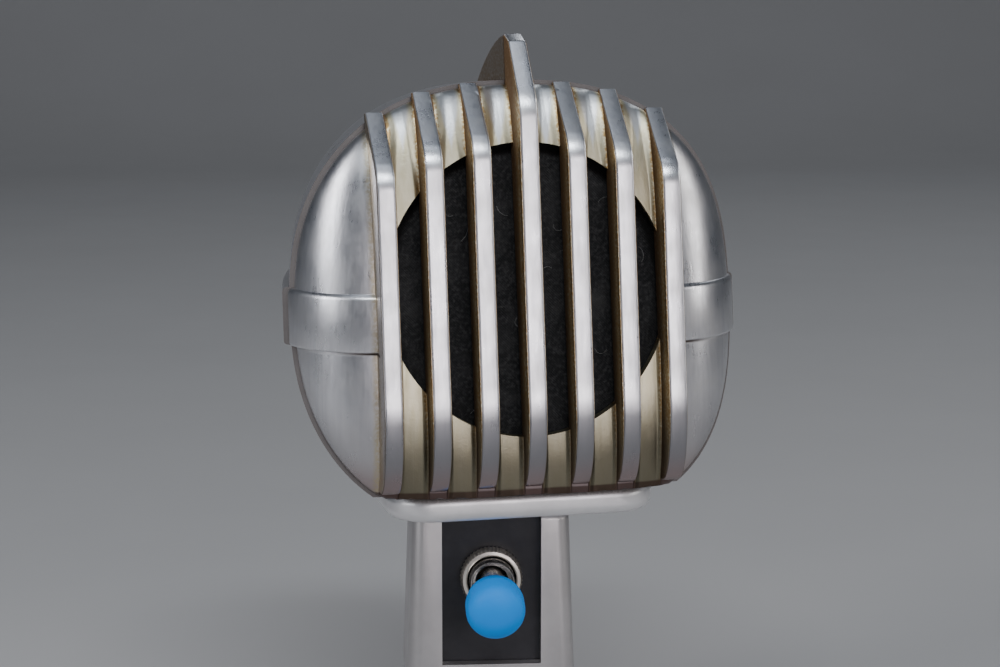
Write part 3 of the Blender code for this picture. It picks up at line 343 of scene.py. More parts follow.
def bare_colour(g, zone):
    """Cloudy brushed metal with painted light: a painted highlight at the ribs' lower bend, painted shade
    and dark reflection below it, and then a painted pinkish reflection.
    """
    clean = g.mix(g.step(zone.cloud, 0.35, 0.75, 0.0, 0.55), CLEAN, AGED)
    clean = g.mix(g.step(zone.streak, 0.38, 0.72, 0.0, 0.40), clean, STREAK)
    foot = g.plus(g.z, g.times(zone.wobble, 3.0))
    # Painted dark reflection: bare metal darker from the ribs' lower bend downwards.
    clean = g.mix(g.step(foot, -13 * MM, -25 * MM, 0.0, 0.7), clean, LOW_REFLECTION_GREY)
    on_rib = g.minus(1.0, zone.cheek)
    # Painted shade on the ribs just below their lower bend.
    shade = g.times(on_rib, g.step(foot, -15.2 * MM, -18.2 * MM, 0.0, 0.62))
    clean = g.mix(shade, clean, RIB_SHADE)
    # Painted pinkish reflection on the metal near the bottom.
    clean = g.mix(g.step(foot, -24 * MM, -32 * MM, 0.0, 0.6), clean, PINK_REFLECTION)
    # Painted highlight in a band along the ribs' lower bend.
    glint = g.times(g.step(foot, -10.5 * MM, -13.2 * MM), g.step(foot, -15.6 * MM, -14.2 * MM))
    return g.mix(g.times(g.times(glint, on_rib), 0.7), clean, GLINT)


def channel_colour(g, zone):
    """Cream stain with gold specks beside the ribs, a painted bluish reflection in a V at the top and
    painted olive shade towards the bottom.
    """
    corner = g.step(g.plus(zone.side, zone.wobble), 1.15 * MM, 0.05 * MM)
    stain = g.mix(g.step(zone.streak, 0.25, 0.8), CREAM, OCHRE)
    stain = g.mix(g.step(g.times(corner, g.step(zone.speck, 0.2, 0.65)), 0.15, 0.9), stain, GOLD)
    # Painted bluish reflection in a V at the top of each channel.
    border = g.step(g.z, 24 * MM, 43 * MM, 3.4 * MM, 0.3 * MM)
    vee = g.minus(g.plus(zone.side, g.times(zone.wobble, 0.5)), border)
    stain = g.mix(g.step(vee, 0.0, 0.9 * MM, 0.0, 0.8), stain, BLUE_REFLECTION)
    # Painted shade: the channel floors darker towards the bottom.
    low_shade = g.step(g.plus(g.z, g.times(zone.wobble, 6.0)), -12 * MM, -27 * MM, 0.0, 0.9)
    return g.mix(low_shade, stain, LOW_SHADE_OLIVE)


def wall_dirt(g, zone):
    """Dirt on the ribs' walls: thick at the root, thinning to specks towards the front edge."""
    wall = g.times(zone.channel, g.step(zone.side, 0.12 * MM, 0.02 * MM))
    fore = g.step(g.plus(zone.front, zone.wobble), 8.6 * MM, 10.9 * MM)
    depth = g.plus(zone.front, g.times(g.minus(zone.speck, 0.5), 5.0 * MM))
    dirt = g.times(wall, g.minus(1.0, fore))
    dirt = g.times(dirt, g.step(depth, 4.5 * MM, 10.5 * MM, 1.0, 0.35))
    return g.times(dirt, g.step(zone.speck, 0.12, 0.5, 0.6, 1.0))


def belt_shadow_line(g, zone):
    """Painted shadow under the belt on the cheeks, strongest beside the outer rib."""
    off = g.absolute(g.plus(g.z, BELT_HALF + 0.15 * MM))
    line = g.times(zone.cheek, g.step(g.plus(off, g.times(zone.wobble, 0.4)), 0.5 * MM, 0.05 * MM))
    line = g.times(line, g.step(zone.across, RIBS_EDGE + 9 * MM, RIBS_EDGE + 1 * MM, 0.25, 1.0))
    return g.times(line, g.step(zone.front, 9.3 * MM, 8.6 * MM))


def front_metal():
    """Satin cast metal: stained cream between the ribs, with brown dirt in the corners; painted light too:
    shadow under the belt, and highlights, shade and reflections on the ribs and channels.
    """
    g = Graph("cast_front", True)
    zone = front_zones(g)
    speck, wobble = zone.speck, zone.wobble
    colour = g.mix(zone.channel, bare_colour(g, zone), channel_colour(g, zone))
    rim = g.step(g.plus(zone.across, wobble), RIBS_EDGE + 1.5 * MM, RIBS_EDGE + 0.3 * MM)
    rim = g.times(g.times(zone.cheek, rim), g.step(zone.front, 9.0 * MM, 6.8 * MM))
    colour = g.mix(g.times(rim, g.step(speck, 0.3, 0.6, 0.25, 0.8)), colour, TAN)
    flank = g.step(g.absolute(g.minus(zone.across, RIBS_EDGE)), 0.15 * MM, 0.05 * MM)
    colour = g.mix(g.times(flank, g.step(speck, 0.2, 0.7, 0.25, 0.7)), colour, FLANK_TAN)
    dirt = wall_dirt(g, zone)
    colour = g.mix(dirt, colour, g.mix(g.step(g.z, -5 * MM, 40 * MM, 0.15, 0.9), BROWN, LIGHT_BROWN))
    # Painted shadow under the belt, in brown.
    under = belt_shadow_line(g, zone)
    colour = g.mix(under, colour, BROWN)
    skirt = g.plus(g.z, g.times(wobble, 0.25))
    colour = g.mix(g.step(skirt, BASE_Z + 1.55 * MM, BASE_Z + 1.15 * MM, 0.0, 0.8), colour, SKIRT_BROWN)
    chip = g.times(nicks(g, 95, 0.048), g.minus(1.0, zone.channel))
    colour = g.mix(chip, colour, RUST)
    # Real dirt, nicks and the painted shadow under the belt: rougher and less metallic there.
    dirt_wear_and_shadow = g.larger(g.larger(dirt, under), chip)

    brush = brushed_height(g)
    rough = g.step(zone.cloud, 0.25, 0.8, 0.27, 0.37)
    rough = g.plus(rough, g.times(g.minus(brush, 0.6), 0.16))
    rough = g.plus(rough, g.times(zone.channel, 0.10))
    rough = g.plus(rough, g.times(dirt_wear_and_shadow, 0.35), clamp=True)
    flare = g.step(g.z, 22 * MM, 42 * MM, 1.1 * MM, 2.6 * MM)
    fillet = g.times(g.step(zone.side, flare, 0.0), zone.channel)
    height = g.plus(g.times(brush, 0.55), g.times(speck, g.step(zone.channel, 0, 1, 0.10, 0.75)))
    height = g.plus(height, g.times(fillet, 15.0))
    height = g.minus(height, g.times(chip, 3.0))
    g.bump(height, 0.8, 0.05 * MM)
    return g.set(Base_Color=colour, Roughness=rough, Metallic=g.minus(1.0, g.times(dirt_wear_and_shadow, 0.6)))


def aged_metal(name, tone=CLEAN, rough=0.30, dirt=1.0, along_z=True, seam=False):
    """Satin cast metal with dents and dirt in its corners, and on its seam and fin where asked."""
    g = Graph(name, seam)
    cloud = g.noise(150, 4.0)
    speck = g.noise(1700, 4.0)
    colour = g.mix(g.step(cloud, 0.35, 0.75, 0.0, 0.6), tone, tuple(c * 0.82 for c in tone))
    corner = g.step(g.times(g.crevice(2.5 * MM), g.step(speck, 0.1, 0.7, 0.7, 1.2)), 0.38, 0.80)
    corner = g.times(corner, dirt)
    if seam:
        corner = g.larger(corner, g.times(g.step(ahead_of_seam(g), -0.75 * MM, -0.35 * MM), 0.85))
        wall = g.absolute(g.minus(g.absolute(g.x), RIB_T / 2))
        wall = g.times(g.step(wall, 0.15 * MM, 0.05 * MM), g.step(g.z, 36 * MM, 41 * MM))
        wall = g.times(wall, g.step(speck, 0.25, 0.6, 0.35, 0.9))
        colour = g.mix(wall, colour, GOLD)
    colour = g.mix(corner, colour, BROWN)
    chip = nicks(g, 85, 0.045)
    colour = g.mix(g.times(chip, 0.8), colour, PALE_RUST)
    brush = brushed_height(g, along_z)
    level = g.step(cloud, 0.25, 0.8, rough - 0.03, rough + 0.08)
    level = g.plus(level, g.times(g.minus(brush, 0.6), 0.16))
    level = g.plus(level, g.times(corner, 0.35), clamp=True)
    height = g.plus(g.times(brush, 0.6), g.times(speck, 0.25))
    height = g.minus(height, g.times(chip, 3.0))
    g.bump(height, 0.30, 0.05 * MM)
    return g.set(Base_Color=colour, Roughness=level, Metallic=g.minus(1.0, g.times(corner, 0.8)))


def plated(name, tone, rough, along_z=True):
    """Bright plated or turned metal with rub marks."""
    g = Graph(name)
    cloud = g.noise(420, 4.0)
    colour = g.mix(g.step(cloud, 0.4, 0.7, 0.0, 0.5), tone, tuple(c * 0.72 for c in tone))
    corner = g.step(g.crevice(0.8 * MM), 0.45, 0.95)
    colour = g.mix(corner, colour, (0.05, 0.04, 0.03))
    brush = brushed_height(g, along_z)
    level = g.step(cloud, 0.3, 0.75, rough, rough + 0.12)
    level = g.plus(level, g.times(corner, 0.3), clamp=True)
    g.bump(brush, 0.18, 0.03 * MM)
    return g.set(Base_Color=colour, Roughness=level, Metallic=1.0)


def plain(name, tone, rough, bump_scale=2200.0, bump=0.15, variation=0.35, **extra):
    """Moulded or sawn material that isn't metal."""
    g = Graph(name)
    cloud = g.noise(bump_scale / 8, 4.0)
    grain = g.noise(bump_scale, 3.0)
    lighter = tuple(min(1.0, c * 1.7 + 0.01) for c in tone)
    colour = g.mix(g.step(cloud, 0.3, 0.75, 0.0, variation), tone, lighter)
    level = g.plus(rough - 0.05, g.times(grain, 0.14), clamp=True)
    g.bump(grain, bump, 0.05 * MM)
    return g.set(Base_Color=colour, Roughness=level, **extra)


def woven_cloth():
    """Black woven cloth with a soft nap, slightly grey worn patches and dust; a painted shadow darkens its
    rim, most at the top, leaving the middle lighter.
    """
    g = Graph("woven_cloth", True)
    turn = tau / (0.52 * MM)
    warp = g.math('SINE', g.times(g.x, turn))
    weft = g.math('SINE', g.times(g.z, turn))
    weave = g.plus(g.times(g.times(warp, weft), 0.5), 0.5)
    cloud = g.noise(110, 5.0, rough=0.65)
    fuzz = g.noise(3300, 4.0, rough=0.7)
    dust = g.step(g.noise(5200, 2.0), 0.66, 0.80)
    nap = g.noise(1500, 4.0, rough=0.7)
    colour = g.mix(weave, (0.0045, 0.0045, 0.005), (0.020, 0.020, 0.021))
    colour = g.mix(g.step(nap, 0.44, 0.68, 0.0, 0.75), colour, (0.055, 0.054, 0.054))
    colour = g.mix(g.step(cloud, 0.42, 0.72, 0.0, 0.6), colour, (0.050, 0.049, 0.049))
    colour = g.mix(g.times(dust, g.step(cloud, 0.3, 0.7, 0.1, 0.55)), colour, (0.11, 0.105, 0.10))
    # Painted shadow of the opening's edge: the cloth darker near its rim, most at the top.
    up = g.minus(g.z, OPENING_Z)
    reach = g.math('SQRT', g.plus(g.times(g.x, g.x), g.times(up, up)))
    edge = g.times(g.step(reach, 24.6 * MM, 26.0 * MM, 0.0, 0.9), g.step(up, -12 * MM, 8 * MM, 0.35, 1.0))
    colour = g.mix(edge, colour, (0.0022, 0.0020, 0.0018))
    height = g.plus(weave, g.times(fuzz, 1.3))
    g.bump(height, 0.75, 0.12 * MM)
    return g.set(Base_Color=colour, Roughness=g.step(fuzz, 0.2, 0.8, 0.82, 0.98), Sheen_Weight=0.12,
                 Sheen_Roughness=0.45, Specular_IOR_Level=0.2)


def winding():
    """Enamelled wire: fine turns round the bobbin."""
    g = Graph("wire_winding")
    turns = g.math('SINE', g.times(g.z, tau / (0.45 * MM)))
    cloud = g.noise(300, 3.0)
    colour = g.mix(g.step(cloud, 0.3, 0.7), (0.40, 0.13, 0.05), (0.27, 0.08, 0.03))
    g.bump(turns, 0.6, 0.08 * MM)
    return g.set(Base_Color=colour, Roughness=g.step(cloud, 0.2, 0.8, 0.32, 0.5), Coat_Weight=0.4)


MATERIALS = {
    "front": front_metal(),
    "cast": aged_metal("cast_body"),
    "rear": aged_metal("cast_rear", seam=True),
    "saddle": aged_metal("cast_saddle", (0.95, 0.935, 0.935), 0.42, 0.8, along_z=False),
    "neck": aged_metal("cast_neck", (0.62, 0.595, 0.59), 0.38, 0.9),
    "coupler": aged_metal("cast_coupler", (0.74, 0.74, 0.75), 0.28, 0.9, along_z=False),
    "steel": plated("nickel_steel", (0.66, 0.64, 0.61), 0.22),
    "nut": plated("nickel_nut", (0.88, 0.82, 0.73), 0.34),
    "brass": plated("turned_brass", (0.72, 0.52, 0.24), 0.25),
    "iron": plain("dark_iron", (0.12, 0.12, 0.13), 0.5, 1500.0, 0.3, Metallic=0.9),
    "cloth": woven_cloth(),
    "board": plain("black_panel", (0.013, 0.012, 0.015), 0.42, 2600.0, 0.22, 0.5),
    "phenolic": plain("brown_laminate", (0.20, 0.09, 0.035), 0.42, 900.0, 0.1),
    "rubber": plain("black_rubber", (0.02, 0.02, 0.02), 0.8, 1800.0, 0.25),
    "foil": plated("ribbon_foil", (0.82, 0.82, 0.83), 0.22),
    "winding": winding(),
    "cap": plain("blue_plastic", (0.0, 0.30, 0.92), 0.48, 1300.0, 0.06, 0.0, Specular_IOR_Level=0.2),
    "lint": plain("lint", (0.42, 0.41, 0.40), 0.8),
}


# ======== mesh helpers
def shaded(mesh, angle=34.0):
    """Smooth shading with sharp edges above an angle in degrees."""
    mesh.shade_smooth()
    mesh.set_sharp_from_angle(angle=radians(angle))


def made(bm, name, material, matrix=WORLD, angle=34.0):
    """Turns a bmesh into an object; material is one name of MATERIALS or a tuple of them."""
    bmesh.ops.recalc_face_normals(bm, faces=bm.faces)
    mesh = bpy.data.meshes.new(name)
    bm.to_mesh(mesh)
    bm.free()
    for mat in (material if isinstance(material, tuple) else (material,)):
        mesh.materials.append(MATERIALS[mat])
    shaded(mesh, angle)
    obj = bpy.data.objects.new(name, mesh)
    bpy.context.scene.collection.objects.link(obj)
    obj.matrix_world = matrix
    return obj


def baked(obj):
    """Applies the object's modifiers to its mesh."""
    bpy.context.view_layer.update()
    graph = bpy.context.evaluated_depsgraph_get()
    mesh = bpy.data.meshes.new_from_object(obj.evaluated_get(graph))
    obj.modifiers.clear()
    obj.data = mesh
    shaded(mesh)


def boolean(obj, shape, operation='DIFFERENCE'):
    """Cuts a bmesh, given in the object's own frame, out of the object or joins it on."""
    tool = made(shape, "tool", "cast", obj.matrix_world)
    mod = obj.modifiers.new("boolean", 'BOOLEAN')
    mod.operation = operation
    mod.solver = 'EXACT'
    mod.object = tool
    baked(obj)
    bpy.data.objects.remove(tool)


def ride(obj, body):
    """Puts the piece's place into its mesh and lets it ride on a body."""
    bpy.context.view_layer.update()
    obj.data.transform(obj.matrix_world)
    obj.matrix_world = WORLD
    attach(obj, body)


def rounded(obj, width, segments=3, angle=35.0):
    """Adds a bevel on the edges sharper than an angle in degrees."""
    mod = obj.modifiers.new("rounding", 'BEVEL')
    mod.width = width
    mod.segments = segments
    mod.limit_method = 'ANGLE'
    mod.angle_limit = radians(angle)
    mod.harden_normals = True


def joined(pieces):
    """One bmesh with the islands of several, which it frees."""
    total = bmesh.new()
    for piece in pieces:
        mesh = bpy.data.meshes.new("piece")
        bmesh.ops.recalc_face_normals(piece, faces=piece.faces)
        piece.to_mesh(mesh)
        piece.free()
        total.from_mesh(mesh)
        bpy.data.meshes.remove(mesh)
    return total


def add_to(obj, shape):
    """Adds a shape's islands to an object's mesh."""
    bmesh.ops.recalc_face_normals(shape, faces=shape.faces)
    bm = bmesh.new()
    bm.from_mesh(obj.data)
    mesh = bpy.data.meshes.new("piece")
    shape.to_mesh(mesh)
    shape.free()
    bm.from_mesh(mesh)
    bm.to_mesh(obj.data)
    bm.free()
    bpy.data.meshes.remove(mesh)
    shaded(obj.data)


def box_bm(size, centre):
    bm = bmesh.new()
    bmesh.ops.create_cube(bm, size=1.0)
    bmesh.ops.scale(bm, vec=Vector(size), verts=bm.verts)
    bmesh.ops.translate(bm, vec=Vector(centre), verts=bm.verts)
    return bm


def cylinder_bm(radius, low, high, axis='Z', centre=(0, 0), segments=64):
    """A cylinder along Z or Y."""
    bm = bmesh.new()
    bmesh.ops.create_cone(bm, cap_ends=True, segments=segments, radius1=radius, radius2=radius,
                          depth=high - low)
    bmesh.ops.translate(bm, vec=(0, 0, (low + high) / 2), verts=bm.verts)
    if axis == 'Y':
        bmesh.ops.rotate(bm, matrix=Matrix.Rotation(radians(-90), 3, 'X'), verts=bm.verts)
        offset = (centre[0], 0, centre[1])
    else:
        offset = (centre[0], centre[1], 0)
    bmesh.ops.translate(bm, vec=offset, verts=bm.verts)
    return bm


def ring_faces(bm, a, b):
    """Faces between two rings of vertices; a ring may be one vertex repeated."""
    for k in range(len(a)):
        n = (k + 1) % len(a)
        corners = list(dict.fromkeys((a[k], b[k], b[n], a[n])))
        if len(corners) > 2:
            bm.faces.new(corners)


def prism_bm(points, low, high, axis):
    """A flat outline drawn out along Z or Y."""
    bm = bmesh.new()
    place = {'Y': lambda p, t: (p[0], t, p[1]), 'Z': lambda p, t: (p[0], p[1], t)}[axis]
    rings = [[bm.verts.new(place(p, t)) for p in points] for t in (low, high)]
    bm.faces.new(rings[0])
    bm.faces.new(list(reversed(rings[1])))
    ring_faces(bm, *rings)
    bmesh.ops.recalc_face_normals(bm, faces=bm.faces)
    return bm


def in_metres(profile):
    """A profile given in millimetres."""
    return [(a * MM, b * MM) for a, b in profile]


def lathe_bm(profile, segments, wave=None):
    """Turns a profile of (radius, height) pairs about Z; wave changes the radius with the angle."""
    bm = bmesh.new()
    rings = []
    for r, z in profile:
        if r < 1e-7:
            rings.append([bm.verts.new((0, 0, z))] * segments)
            continue
        ring = []
        for k in range(segments):
            a = tau * k / segments
            radius = r + (wave(a, r, z) if wave else 0.0)
            ring.append(bm.verts.new((radius * cos(a), radius * sin(a), z)))
        rings.append(ring)
    closed = profile[0][0] > 1e-7 and profile[-1][0] > 1e-7
    pairs = list(zip(rings, rings[1:])) + ([(rings[-1], rings[0])] if closed else [])
    for a, b in pairs:
        ring_faces(bm, a, b)
    return bm


def round_edges(bm, width, chosen, segments=3):
    """Rounds the sharp edges whose ends both meet a test on their place."""
    edges = [e for e in bm.edges if all(chosen(v.co) for v in e.verts)]
    edges = [e for e in edges if len(e.link_faces) == 2 and e.calc_face_angle() > radians(45)]
    bmesh.ops.bevel(bm, geom=edges, offset=width, offset_type='OFFSET', segments=segments, profile=0.5,
                    affect='EDGES', clamp_overlap=True)
    return bm


def rounded_rect(width, depth, radius, centre, steps):
    """The outline of a rectangle with round corners."""
    points = []
    for sx, sy, start in ((1, 1, 0), (-1, 1, 90), (-1, -1, 180), (1, -1, 270)):
        cx = centre[0] + sx * (width / 2 - radius)
        cy = centre[1] + sy * (depth / 2 - radius)
        for k in range(steps + 1):
            angle = radians(start + 90.0 * k / steps)
            points.append((cx + radius * cos(angle), cy + radius * sin(angle)))
    return points


def lean(bm):
    """Leans the shells' geometry back with height and sweeps its sides back."""
    for vert in bm.verts:
        outside = max(0.0, abs(vert.co.x) - SWEEP_START)
        vert.co.y += RAKE * vert.co.z + SWEEP * outside ** 3
    return bm


def arc(corner, before, after, radius, steps):
    """Points round a corner between the directions to two neighbours."""
    c, a, b = Vector(corner), Vector(before), Vector(after)
    u, v = (a - c).normalized(), (b - c).normalized()
    half = u.angle(v) / 2
    reach = radius / tan(half)
    centre = c + (u + v).normalized() * (radius / sin(half))
    start, end = c + u * reach, c + v * reach
    points = []
    for k in range(steps + 1):
        t = k / steps
        d = ((start - centre) * (1 - t) + (end - centre) * t).normalized() * radius
        points.append(tuple(centre + d))
    return points


# ======== the shells
def outline(angle, proud=0.0):
    """A point of the head's outline, seen from the front, at an angle round its middle."""
    c, s = cos(angle), sin(angle)
    radius = 1.0 / radial(c, s, proud)
    return radius * c, radius * s


def radial(x, z, proud=0.0):
    """How far out a point lies: 0 in the middle and 1 on the outline."""
    height = (TOP_H if z >= 0 else LOW_H) + proud
    total = abs(x / (HALF_W + proud)) ** OUTLINE_POWER + abs(z / height) ** OUTLINE_POWER
    return total ** (1.0 / OUTLINE_POWER)


def dome(r, depth, power):
    """Height of a shell over its seam at a radial place."""
    return depth * max(0.0, 1.0 - r ** power) ** (1.0 / power)


def front_depth(x, z):
    return min(dome(radial(x, z), FRONT_DEPTH, FRONT_POWER), FRONT_FLAT)


def side_taper(y):
    return 1.0 - REAR_TAPER * y / REAR_DEPTH


def top_taper(y):
    return 1.0 - TOP_TAPER * y / REAR_DEPTH


def shell_bm(depth, power, side, proud, flat, around, rings):
    """One half shell: outer and inner domes joined by a rim at the seam plane."""
    bm = bmesh.new()
    skins = []
    for thickness in (0.0, WALL):
        grid = []
        for k in range(rings + 1):
            r = sin(radians(90.0 * k / rings))
            y = max(0.0, min(dome(r, depth - thickness, power), flat - thickness))
            row = []
            for j in range(1 if k == 0 else around):
                x, z = outline(tau * (j + 0.5) / around, proud - thickness)
                x, z = x * r, max(z * r, BASE_Z + thickness)
                if side > 0:
                    x, z = x * side_taper(y), z * (top_taper(y) if z > 0 else 1.0)
                row.append(bm.verts.new((x, side * (y + SEAM), z)))
            grid.append(row if k else row * around)
        skins.append(grid)
        for a, b in zip(grid, grid[1:]):
            ring_faces(bm, a, b)
    ring_faces(bm, skins[0][rings], skins[1][rings])
    bmesh.ops.recalc_face_normals(bm, faces=bm.faces)
    return lean(bm)


def rib_face(index):
    """The rib's front edge from bottom to top, as (y, z) pairs, and the height of the shell's rim."""
    inner = max(0.0, abs(index) * RIB_PITCH - RIB_T / 2)
    rim_z = TOP_H * (1.0 - (inner / HALF_W) ** OUTLINE_POWER) ** (1.0 / OUTLINE_POWER)
    top_bend = RIB_TOP_BENDS[abs(index)]
    points = []
    steps = 30
    low = BASE_Z + RIB_FOOT
    for k in range(steps + 1):
        t = 1.0 - (k / steps) ** 1.25
        swell = max(0.0, 1.0 - t ** 2.0) ** 0.5
        reach = RIB_END_Y + (RIB_FRONT - RIB_END_Y) * swell
        points.append((-reach, RIB_LOW_BEND + t * (low - RIB_LOW_BEND)))
    corner = (-RIB_FRONT, top_bend)
    if index == 0:
        tip = (-FIN_TIP_Y, FIN_TIP_Z - 0.8 * MM)
        points += arc(corner, (-RIB_FRONT, 0), tip, 9 * MM, 14)
        points += arc(tip, corner, (-RIB_BACK, FIN_TIP_Z + 0.3 * MM), 0.9 * MM, 5)
        points += [(-RIB_BACK, FIN_TIP_Z + 0.3 * MM)]
    else:
        end = (-0.6 * MM, rim_z + 0.6 * MM)
        points += arc(corner, (-RIB_FRONT, 0), end, 7 * MM, 14)
        y, z = points[-1]
        points += [(y + (end[0] - y) * t, z + (end[1] - z) * t) for t in (0.35, 0.7, 1.0)]
    return points, rim_z


def strip_bm(x0, front, back, thickness, radius):
    """A rib between its front edge, which is rounded, and its back edge."""
    bm = bmesh.new()
    rows = []
    steps = 4
    for j, (y, z) in enumerate(front):
        before, after = front[max(j - 1, 0)], front[min(j + 1, len(front) - 1)]
        along = Vector((after[0] - before[0], after[1] - before[1])).normalized()
        out = Vector((-along.y, along.x))
        section = []
        for k in range(steps + 1):
            a = radians(90.0 * k / steps)
            section.append((-(thickness / 2 - radius) - radius * cos(a), radius * (1 - sin(a))))
        section += [(-dx, inset) for dx, inset in reversed(section)]
        yb, zb = back[j]
        row = [bm.verts.new((x0 - thickness / 2, yb, zb))]
        for dx, inset in section:
            row.append(bm.verts.new((x0 + dx, y - out.x * inset, z - out.y * inset)))
        row.append(bm.verts.new((x0 + thickness / 2, yb, zb)))
        rows.append(row)
    for a, b in zip(rows, rows[1:]):
        ring_faces(bm, a, b)
    bm.faces.new(rows[0])
    bm.faces.new(list(reversed(rows[-1])))
    return bm


def rib_bm(index):
    """Rib number index, counted from the centre one, which rises as the fin."""
    x = index * RIB_PITCH
    front, rim_z = rib_face(index)
    back = []
    for _, z in front:
        if index == 0 and z > rim_z - 0.4 * MM:
            back.append((-RIB_BACK, min(z, FIN_TIP_Z - 0.6 * MM)))
            continue
        zb = min(z, rim_z - 0.8 * MM)
        back.append((-max(front_depth(x, zb) - 0.9 * MM, RIB_BACK), zb))
    return strip_bm(x, front, back, RIB_T, RIB_ROUND)


def belt_section(depth, power, proud, start_x, side, flat, steps=28):
    """The belt's right arm seen from above, as a closed outline round the shell's skin."""
    outer, inner = [], []
    for k in range(steps + 1):
        t = k / steps
        x = start_x + (HALF_W + proud - start_x) * sin(radians(90 * t))
        r = min(1.0, x / (HALF_W + proud))
        y = min(dome(r, depth, power), flat)
        slope = Vector((x, y * (HALF_W / depth))).normalized()
        narrow = side_taper(y) if side > 0 else 1.0
        reach = (x + BELT_PROUD * slope.x) * narrow
        outer.append((reach, side * (y + RIB_BACK + BELT_PROUD * (1 - r) * 1.6)))
        inner.append(((x - 1.0 * MM * r) * narrow, side * max(RIB_BACK, y + RIB_BACK - 1.0 * MM)))
    inner.reverse()
    return outer + inner


def belts_bm(section, depth, power, proud):
    """Both arms of the raised belt, with a broader round along the upper edge."""
    def outside(co):
        wide = (HALF_W + proud) * (side_taper(abs(co.y)) if proud else 1.0)
        return abs(co.x / wide) ** power + abs(co.y / depth) ** power > 1.01

    arms = []
    for points in (section, [(-x, y) for x, y in reversed(section)]):
        arm = prism_bm(points, -BELT_HALF, BELT_HALF, 'Z')
        arm = round_edges(arm, BELT_TOP_ROUND, lambda co: co.z > 0 and outside(co), 5)
        underside = -BELT_HALF + 0.01 * MM
        arms.append(round_edges(arm, BELT_LOW_ROUND, lambda co: co.z < underside and outside(co)))
    return lean(joined(arms))


def build_front():
    shell = shell_bm(FRONT_DEPTH, FRONT_POWER, -1, 0.0, FRONT_FLAT, 168, 26)
    shell = made(shell, "front_casting", "front", HEAD)
    boolean(shell, cylinder_bm(OPENING_R, -20 * MM, 20 * MM, 'Y', (0, OPENING_Z), 144))
    add_to(shell, lean(joined([rib_bm(index) for index in range(-3, 4)])))
    section = belt_section(FRONT_DEPTH, FRONT_POWER, 0.0, FRONT_BELT_X, -1, FRONT_FLAT)
    add_to(shell, belts_bm(section, FRONT_DEPTH, FRONT_POWER, 0.0))
    ride(shell, "head")
    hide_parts("front_shell")


def rear_fin():
    front, back = [], []
    steps = 26
    for k in range(steps + 1):
        t = k / steps
        y = RIB_BACK + (FIN_LENGTH - RIB_BACK) * t
        skin = (TOP_H + REAR_PROUD) * dome(y / REAR_DEPTH, 1.0, REAR_POWER) * top_taper(y)
        rise = (FIN_TIP_Z + 0.3 * MM - TOP_H - REAR_PROUD) * (1.0 - t ** 1.6)
        front.append((y, skin + rise - 0.3 * MM * t))
        back.append((y, skin - 1.1 * MM))
    return lean(strip_bm(0.0, front, back, RIB_T, RIB_ROUND))


def saddle_cylinders(radius, low, high, segments):
    """A cylinder at each saddle screw."""
    return [cylinder_bm(radius, low, high, 'Z', (sx * SCREW_X, PAN_Y + sy * SCREW_Y), segments)
            for sx, sy in CORNERS]


def shell_cylinders(radius, low, high, shift, segments):
    """A cylinder at each shell screw; the small shift keeps its edges off the shell's own vertices."""
    return joined([cylinder_bm(radius, low, high, 'Y', (side * SHELL_SCREW_X, shift), segments)
                   for side in (-1, 1)])


def grille_holes():
    """The rear shell's slots, its window for the tilt bracket, and the holes for the saddle's screws."""
    holes = []
    for index in range(-3, 4):
        x = index * GRILLE_PITCH
        half = sqrt(GRILLE_R ** 2 - x * x)
        slot = rounded_rect(GRILLE_W, 2 * half, 1.55 * MM, (x + 0.03 * MM, OPENING_Z), 6)
        holes.append(prism_bm(slot, 30 * MM, 70 * MM, 'Y'))
    window = (SLOT_W + 3 * MM, SLOT_L + 3 * MM, 12 * MM)
    holes.append(box_bm(window, (0.02 * MM, PAN_Y + 0.01 * MM, BASE_Z)))
    return joined(holes + saddle_cylinders(SCREW_BORE_R, -38 * MM, -28 * MM, 24))


def build_rear():
    shell = shell_bm(REAR_DEPTH, REAR_POWER, 1, REAR_PROUD, REAR_DEPTH, 168, 34)
    shell = made(shell, "rear_casting", "rear", HEAD)
    boolean(shell, shell_cylinders(BOSS_R, BOSS_FRONT, BOSS_BACK, 0.05 * MM, 64), 'UNION')
    boolean(shell, grille_holes())
    boolean(shell, shell_cylinders(SCREW_HEAD_R, SCREW_SEAT, 60 * MM, 0.07 * MM, 48))
    section = belt_section(REAR_DEPTH, REAR_POWER, REAR_PROUD, REAR_BELT_X, 1, REAR_DEPTH, 44)
    belts = made(belts_bm(section, REAR_DEPTH, REAR_POWER, REAR_PROUD), "rear_belts", "rear", HEAD)
    boolean(belts, shell_cylinders(SCREW_HEAD_R, SCREW_SEAT, 60 * MM, 0.07 * MM, 48))
    boolean(shell, shell_cylinders(SCREW_BORE_R, 20 * MM, 60 * MM, 0.07 * MM, 32))
    add_to(shell, rear_fin())
    bm = bmesh.new()
    bm.from_mesh(belts.data)
    bpy.data.objects.remove(belts)
    add_to(shell, bm)
    ride(shell, "head")
    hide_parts("rear_shell")


